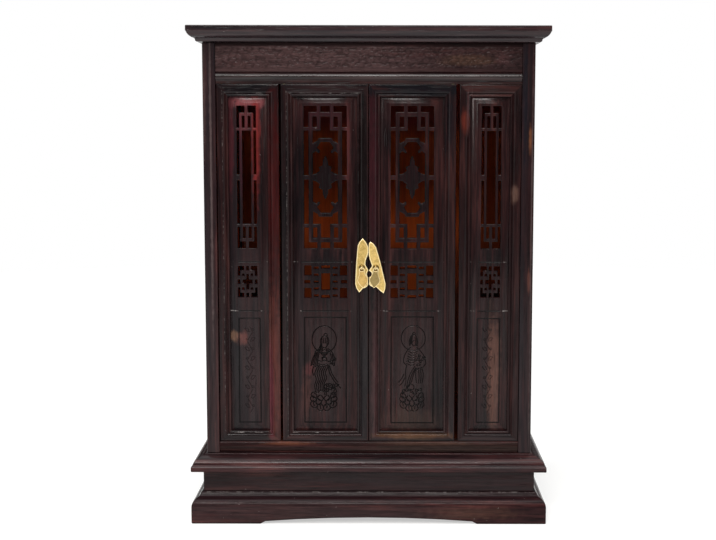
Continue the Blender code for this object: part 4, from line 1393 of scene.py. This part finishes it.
def friezeTree():
    look = friezeLook
    tree, build, source = newTree("friezeCarving", {
        "Front": "Float", "Scrolls": "Int", "Length": "Float", "Level": "Float",
        "Ridge": "Float", "Height": "Float", "Seed": "Int", "Finish": "Material"})
    length = source.output("Length")
    level = source.output("Level")
    seed = source.output("Seed")
    line = build.node("GeometryNodeCurvePrimitiveLine", {},
                      {"Start": build.point(X=length * -0.5, Z=level),
                       "End": build.point(X=length * 0.5, Z=level)})
    spaced = build.node("GeometryNodeResampleCurve", {},
                        {"Curve": line, "Count": source.output("Scrolls")})
    dots = build.node("GeometryNodeCurveToPoints", {"mode": "EVALUATED"}, {"Curve": spaced},
                      out="Points")
    index = build.node("GeometryNodeInputIndex")
    row = index.joined("MODULO", index, float(look["rows"]))
    odd = index.joined("MODULO", index, 2.0)
    jitter = build.node("FunctionNodeRandomValue", {"data_type": "FLOAT"},
                        {"Min": -1.0, "Max": 1.0, "Seed": seed}, out="Value")
    lift = (row - (look["rows"] - 1) / 2) * look["rowPitch"] * mm + jitter * look["strayZ"] * mm
    shifted = build.point(X=jitter * look["strayX"] * mm, Z=lift)
    moved = build.node("GeometryNodeSetPosition", {}, {"Geometry": dots, "Offset": shifted})
    start, end = look["spiral"]
    spiral = build.node("GeometryNodeCurveSpiral", {},
                        {"Resolution": 14, "Rotations": look["turns"], "Height": 0.0,
                         "Start Radius": start * mm, "End Radius": end * mm})
    least, most = look["sizes"]
    size = build.node("FunctionNodeRandomValue", {"data_type": "FLOAT"},
                      {"Min": least, "Max": most, "Seed": seed + 1.0}, out="Value")
    scrolls = build.node("GeometryNodeInstanceOnPoints", {},
                         {"Points": moved, "Instance": spiral,
                          "Rotation": build.point(X=math.pi / 2, Y=jitter * look["lean"],
                                                  Z=odd * math.pi),
                          "Scale": build.point(X=size * look["wider"],
                                               Y=size * look["flatter"], Z=size)})
    loose = build.node("GeometryNodeRealizeInstances", {}, {"Geometry": scrolls})
    lines = build.node("GeometryNodeCurveToMesh", {}, {"Curve": loose})
    parts, away = flatDistance(build, lines)
    here = build.node("GeometryNodeInputPosition")
    rough = build.noise(here, look["rough"])
    ridge = 1.0 - build.rise(away, 0.0, source.output("Ridge") * (0.6 + rough))
    long = build.node("ShaderNodeVectorMath", {"operation": "MULTIPLY"},
                      {0: here, 1: (0.5, 1.0, 1.0)})
    swell = build.rise(build.noise(long, look["swell"], 1.0, 0.5, 1.2), *look["swellBand"])
    z = parts.output("Z") - level
    low, high = ([value * mm for value in look[edge]] for edge in ("edgeLow", "edgeHigh"))
    within = build.rise(z, *low) * (1.0 - build.rise(z, *high))
    front = parts.output("Y") < source.output("Front")
    raised = (ridge + swell) * look["carved"] * within * front
    finishTree(build, source, raised * source.output("Height") * -1.0,
               (1.0 - raised).most(0.0) * within * front * look["tint"])
    return tree


def frieze():
    look = friezeLook
    mesh = gridBoard("friezeBoard", look["box"], look["front"], look["back"], look["stepX"],
                     look["stepZ"])
    piece = newObject("friezeBoard", mesh, [friezeWood])
    useTree(piece, friezeTree(), {
        "Front": (look["front"] + 1) * mm, "Scrolls": look["scrolls"],
        "Length": look["length"] * mm, "Level": look["middle"] * mm,
        "Ridge": look["ridge"] * mm, "Height": look["height"] * mm, "Seed": look["seed"],
        "Finish": friezeWood})
    settled(piece, 60)
    return placed(piece, "cabinet", "rosewood", "frieze_board")


frieze()
print("frieze carved")


# The brass: a leaf-shaped plate on each door, an eye on a domed rose, and a drop that swings.

pullLook = {
    "plate": 0.9, "rim": 0.9, "gap": 0.3,
    "ring": 2.2, "wire": 0.6, "out": 1.3, "level": 260.3, "eyeX": 7.0,
    "buried": 0.15, "clear": 0.1,  # how the eye's ends meet the plate
    "ringSteps": 26, "wireSides": 12, "roseSides": 32,
    "rose": 3.3, "roseStep": 0.12, "dome": 0.5,  # low enough for the drop to swing up over it
    "dropThick": 1.0, "dropLength": 18.4, "holeWide": 1.9, "holeHigh": 1.4, "dropRim": 0.5,
    "lean": {"left": 5.0, "right": -6.0},
}
plates = {
    "left": [(-6.2, 290.0), (-9.2, 286.6), (-11.1, 283.0), (-11.8, 276.0), (-12.6, 266.0),
             (-13.3, 255.0), (-13.7, 243.9), (-12.5, 239.4), (-9.7, 235.2), (-7.8, 237.4),
             (-5.9, 239.6)]
            + arc((-5.9, 239.6), (-0.7, 243.6), -1.1, 6) + [(-0.7, 250.6)]
            + arc((-0.7, 250.6), (-0.7, 257.2), 1.3, 8)
            + [(-0.7, 258.0), (-3.6, 263.6), (-3.2, 268.0), (-1.4, 272.5), (-0.5, 275.5),
               (-0.5, 281.0), (-2.6, 285.6)],
    "right": [(1.6, 286.4), (0.2, 285.0), (-0.1, 282.6), (-0.1, 273.5), (0.9, 269.0),
              (3.3, 262.0), (0.3, 258.0), (0.3, 257.2)]
             + arc((0.3, 257.2), (0.3, 250.6), 2.6, 8) + [(0.3, 243.6)]
             + arc((0.3, 243.6), (7.4, 240.9), -1.3, 6)
             + [(9.8, 238.6), (12.4, 236.2), (14.9, 234.4), (16.4, 238.6), (16.9, 243.8),
                (15.2, 251.0), (13.0, 260.5), (10.9, 268.5), (8.9, 275.5), (7.2, 281.2),
                (4.2, 285.0)],
}


def flatSheet(name, outline, holes, y0, y1, finish, rim):
    # a sheet whose edge slopes back all round, in a paler brass as a painted highlight
    points, cells = flatCells(outline, holes, [])
    count = len(points)
    verts = [(x, y0, z) for x, z in points] + [(x, y1, z) for x, z in points]
    faces = [tuple(c) for c in cells] + [tuple(count + i for i in reversed(c)) for c in cells]
    faces += [(a, b, count + b, count + a) for a, b in rimEdges(cells)]
    mesh = meshFrom(name, verts, faces)
    shaped = bmesh.new()
    shaped.from_mesh(mesh)
    bmesh.ops.dissolve_limit(shaped, angle_limit=math.radians(0.4), verts=shaped.verts,
                             edges=shaped.edges)
    face = [f for f in shaped.faces if f.normal.y < -0.9]
    outer = {v for f in face for v in f.verts}
    ring = bmesh.ops.inset_region(shaped, faces=face, thickness=rim * mm, use_even_offset=True)
    for part in ring["faces"]:
        part.material_index = 1
    for vert in outer:
        if vert.is_valid and vert.co.y < (y0 + 0.01) * mm:
            linked = [f for f in vert.link_faces if f.normal.y > -0.9 or f.material_index == 1]
            if len(linked) == len(vert.link_faces):
                vert.co.y += rim * 0.12 * mm
    shaped.to_mesh(mesh)
    shaped.free()
    piece = newObject(name, mesh, [finish, rimHighlightBrass])
    eased(piece, 0.12, 20)
    return settled(piece, 24)


def dropOutline(x, z, lean):
    half = [(0.0, 2.7), (0.9, 2.6), (1.6, 2.3), (2.3, 1.7), (2.8, 1.0), (3.1, -0.4),
            (2.7, -2.2), (3.1, -4.2), (4.4, -7.2), (5.2, -9.2), (5.4, -10.4), (5.2, -11.6),
            (3.9, -14.2), (1.6, -16.8)]
    outline = half + [(0.0, -pullLook["dropLength"])] + [(-a, b) for a, b in reversed(half[1:])]
    c, s = math.cos(lean), math.sin(lean)
    return [(x + a * c - b * s, z + a * s + b * c) for a, b in outline]


def eyeAndRose(name, x, front, finish):
    look = pullLook
    y = front - look["out"]
    start = math.acos((look["out"] - look["buried"]) / look["ring"])
    steps = look["ringSteps"]
    around = look["wireSides"]
    verts = []
    for i in range(steps + 1):
        turn = start + (math.tau - 2 * start) * i / steps
        for k in range(around):
            roll = math.tau * k / around
            radius = look["ring"] + look["wire"] * math.cos(roll)
            verts.append((x + look["wire"] * math.sin(roll),
                          min(y + radius * math.cos(turn), front - look["clear"]),
                          look["level"] + radius * math.sin(turn)))
    ringMesh = meshFrom(name, verts, tubeFaces(steps + 1, around))
    step = look["roseStep"]
    profile = [(look["rose"], 0.0), (look["rose"], step)]
    profile += [(look["rose"] * math.cos(t), step + (look["dome"] - step) * math.sin(t))
                for t in (0.3, 0.6, 0.95, 1.25)]
    around = look["roseSides"]
    rose = [(px, front - height, pz) for radius, height in profile
            for px, pz in oval(x, look["level"], radius, radius, around)[:-1]]
    roseMesh = meshFrom(name + "Rose", rose, tubeFaces(len(profile), around))
    joined = bmesh.new()
    joined.from_mesh(ringMesh)
    count = len(joined.faces)
    joined.from_mesh(roseMesh)
    joined.faces.ensure_lookup_table()
    for face in joined.faces[count:]:
        face.material_index = 1
    joined.to_mesh(ringMesh)
    joined.free()
    piece = newObject(name, ringMesh, [finish, roseShadeBrass])
    smoothShaded(piece.data, 40)
    return piece


for side, way in (("left", -1), ("right", 1)):
    look = pullLook
    back = leafLook["face"] - look["gap"]
    front = back - look["plate"]
    placed(flatSheet(side + "PullPlate", plates[side], [], front, back, plateBrass[side],
                     look["rim"]), side + "_door", "brass", side + "_pull_plate")
    x = way * look["eyeX"]
    placed(eyeAndRose(side + "PullEye", x, front, wireBrass), side + "_door", "brass",
           side + "_pull_eye")
    z = look["level"] - look["ring"]
    y = front - look["out"]
    hole = oval(x, z, look["holeWide"], look["holeHigh"], 24)[:-1]
    drop = flatSheet(side + "PullDrop", dropOutline(x, z, math.radians(look["lean"][side])),
                     [hole], y - look["dropThick"] / 2, y + look["dropThick"] / 2,
                     dropBrass[side], look["dropRim"])
    placed(drop, side + "_pull", "brass", side + "_pull_drop")
    for place in ("low", "high"):
        pin = nodes[side + "_door_pin_" + place]
        for socket in pin.material_slots:
            socket.material = wireBrass
print("brass made")


# Floor, lights and camera.

floorLook = {"colour": (0.55, 0.55, 0.545), "shade": 0.985, "cloud": 3.0, "roughness": 0.65,
             "glow": 0.52, "radius": 2.4, "sides": 96}


def floor():
    made, build, shader = newFinish("floorFinish")
    look = floorLook
    shade = build.rise(build.noise(build.place(), look["cloud"]), 0.2, 0.8)
    colour = build.mix(shade, [c * look["shade"] for c in look["colour"]], look["colour"])
    plug(build, shader, {"Base Color": colour, "Roughness": look["roughness"],
                         "Emission Color": (1.0, 1.0, 0.995),
                         "Emission Strength": look["glow"]})
    count = look["sides"]
    ring = oval(0.0, 0.0, look["radius"], look["radius"], count)[:-1]
    mesh = bpy.data.meshes.new("floor")
    mesh.from_pydata([(x, y, 0.0) for x, y in ring], [], [tuple(range(count))])
    plane = newObject("floor", mesh, [made])


floor()
airLook = {"room": 0.20}  # light from the room itself
world = bpy.data.worlds.new("studioAir")
bpy.context.scene.world = world
world.use_nodes = True
air = Maker(world.node_tree)
backdrop = world.node_tree.nodes["Background"]
seen = air.node("ShaderNodeLightPath", out="Is Camera Ray")
plug(air, backdrop, {"Color": (1.0, 1.0, 1.0),
                     "Strength": seen * (1.0 - airLook["room"]) + airLook["room"]})

lampColour = (1.0, 0.98, 0.95)
lamps = {
    "frontPanel": {"at": (-0.15, -2.05, 1.33), "aim": (0.0, -0.1, 0.30), "size": (1.0, 0.35),
                   "power": 24.0},
    "topPanel": {"at": (-0.15, -1.05, 1.40), "aim": (0.0, -0.1, 0.40), "size": (1.2, 0.3),
                 "power": 9.0},
}
for name, look in lamps.items():
    lamp = bpy.data.lights.new(name, "AREA")
    lamp.shape = "RECTANGLE"
    lamp.size, lamp.size_y = look["size"]
    lamp.energy = look["power"]
    lamp.color = lampColour
    holder = bpy.data.objects.new(name, lamp)
    holder.location = look["at"]
    holder.rotation_euler = (Vector(look["aim"]) - Vector(look["at"])).to_track_quat(
        "-Z", "Y").to_euler()
    bpy.context.scene.collection.objects.link(holder)

skyLook = {"power": 2.5, "spread": 70, "tilt": (6, 0, -14)}
sun = bpy.data.lights.new("skylight", "SUN")
sun.energy = skyLook["power"]
sun.angle = math.radians(skyLook["spread"])
holder = bpy.data.objects.new("skylight", sun)
holder.rotation_euler = [math.radians(turn) for turn in skyLook["tilt"]]
bpy.context.scene.collection.objects.link(holder)

eyePoint = {"at": (0.0212, -1.4474, 0.40297), "down": 0.108744, "roll": -0.0015486,
            "lens": 66.74, "shift": -0.0449, "sensor": 36.0, "near": 0.05}
camera = bpy.data.cameras.new("viewCamera")
camera.lens = eyePoint["lens"]
camera.sensor_width = eyePoint["sensor"]
camera.sensor_fit = "HORIZONTAL"
camera.shift_x = eyePoint["shift"]
camera.clip_start = eyePoint["near"]
stand = bpy.data.objects.new("viewCamera", camera)
stand.location = eyePoint["at"]
stand.rotation_euler = (math.pi / 2 - eyePoint["down"], eyePoint["roll"], 0.0)
bpy.context.scene.collection.objects.link(stand)
bpy.context.scene.camera = stand
bpy.context.scene.view_settings.view_transform = "Standard"
print("floor, lights and camera placed")
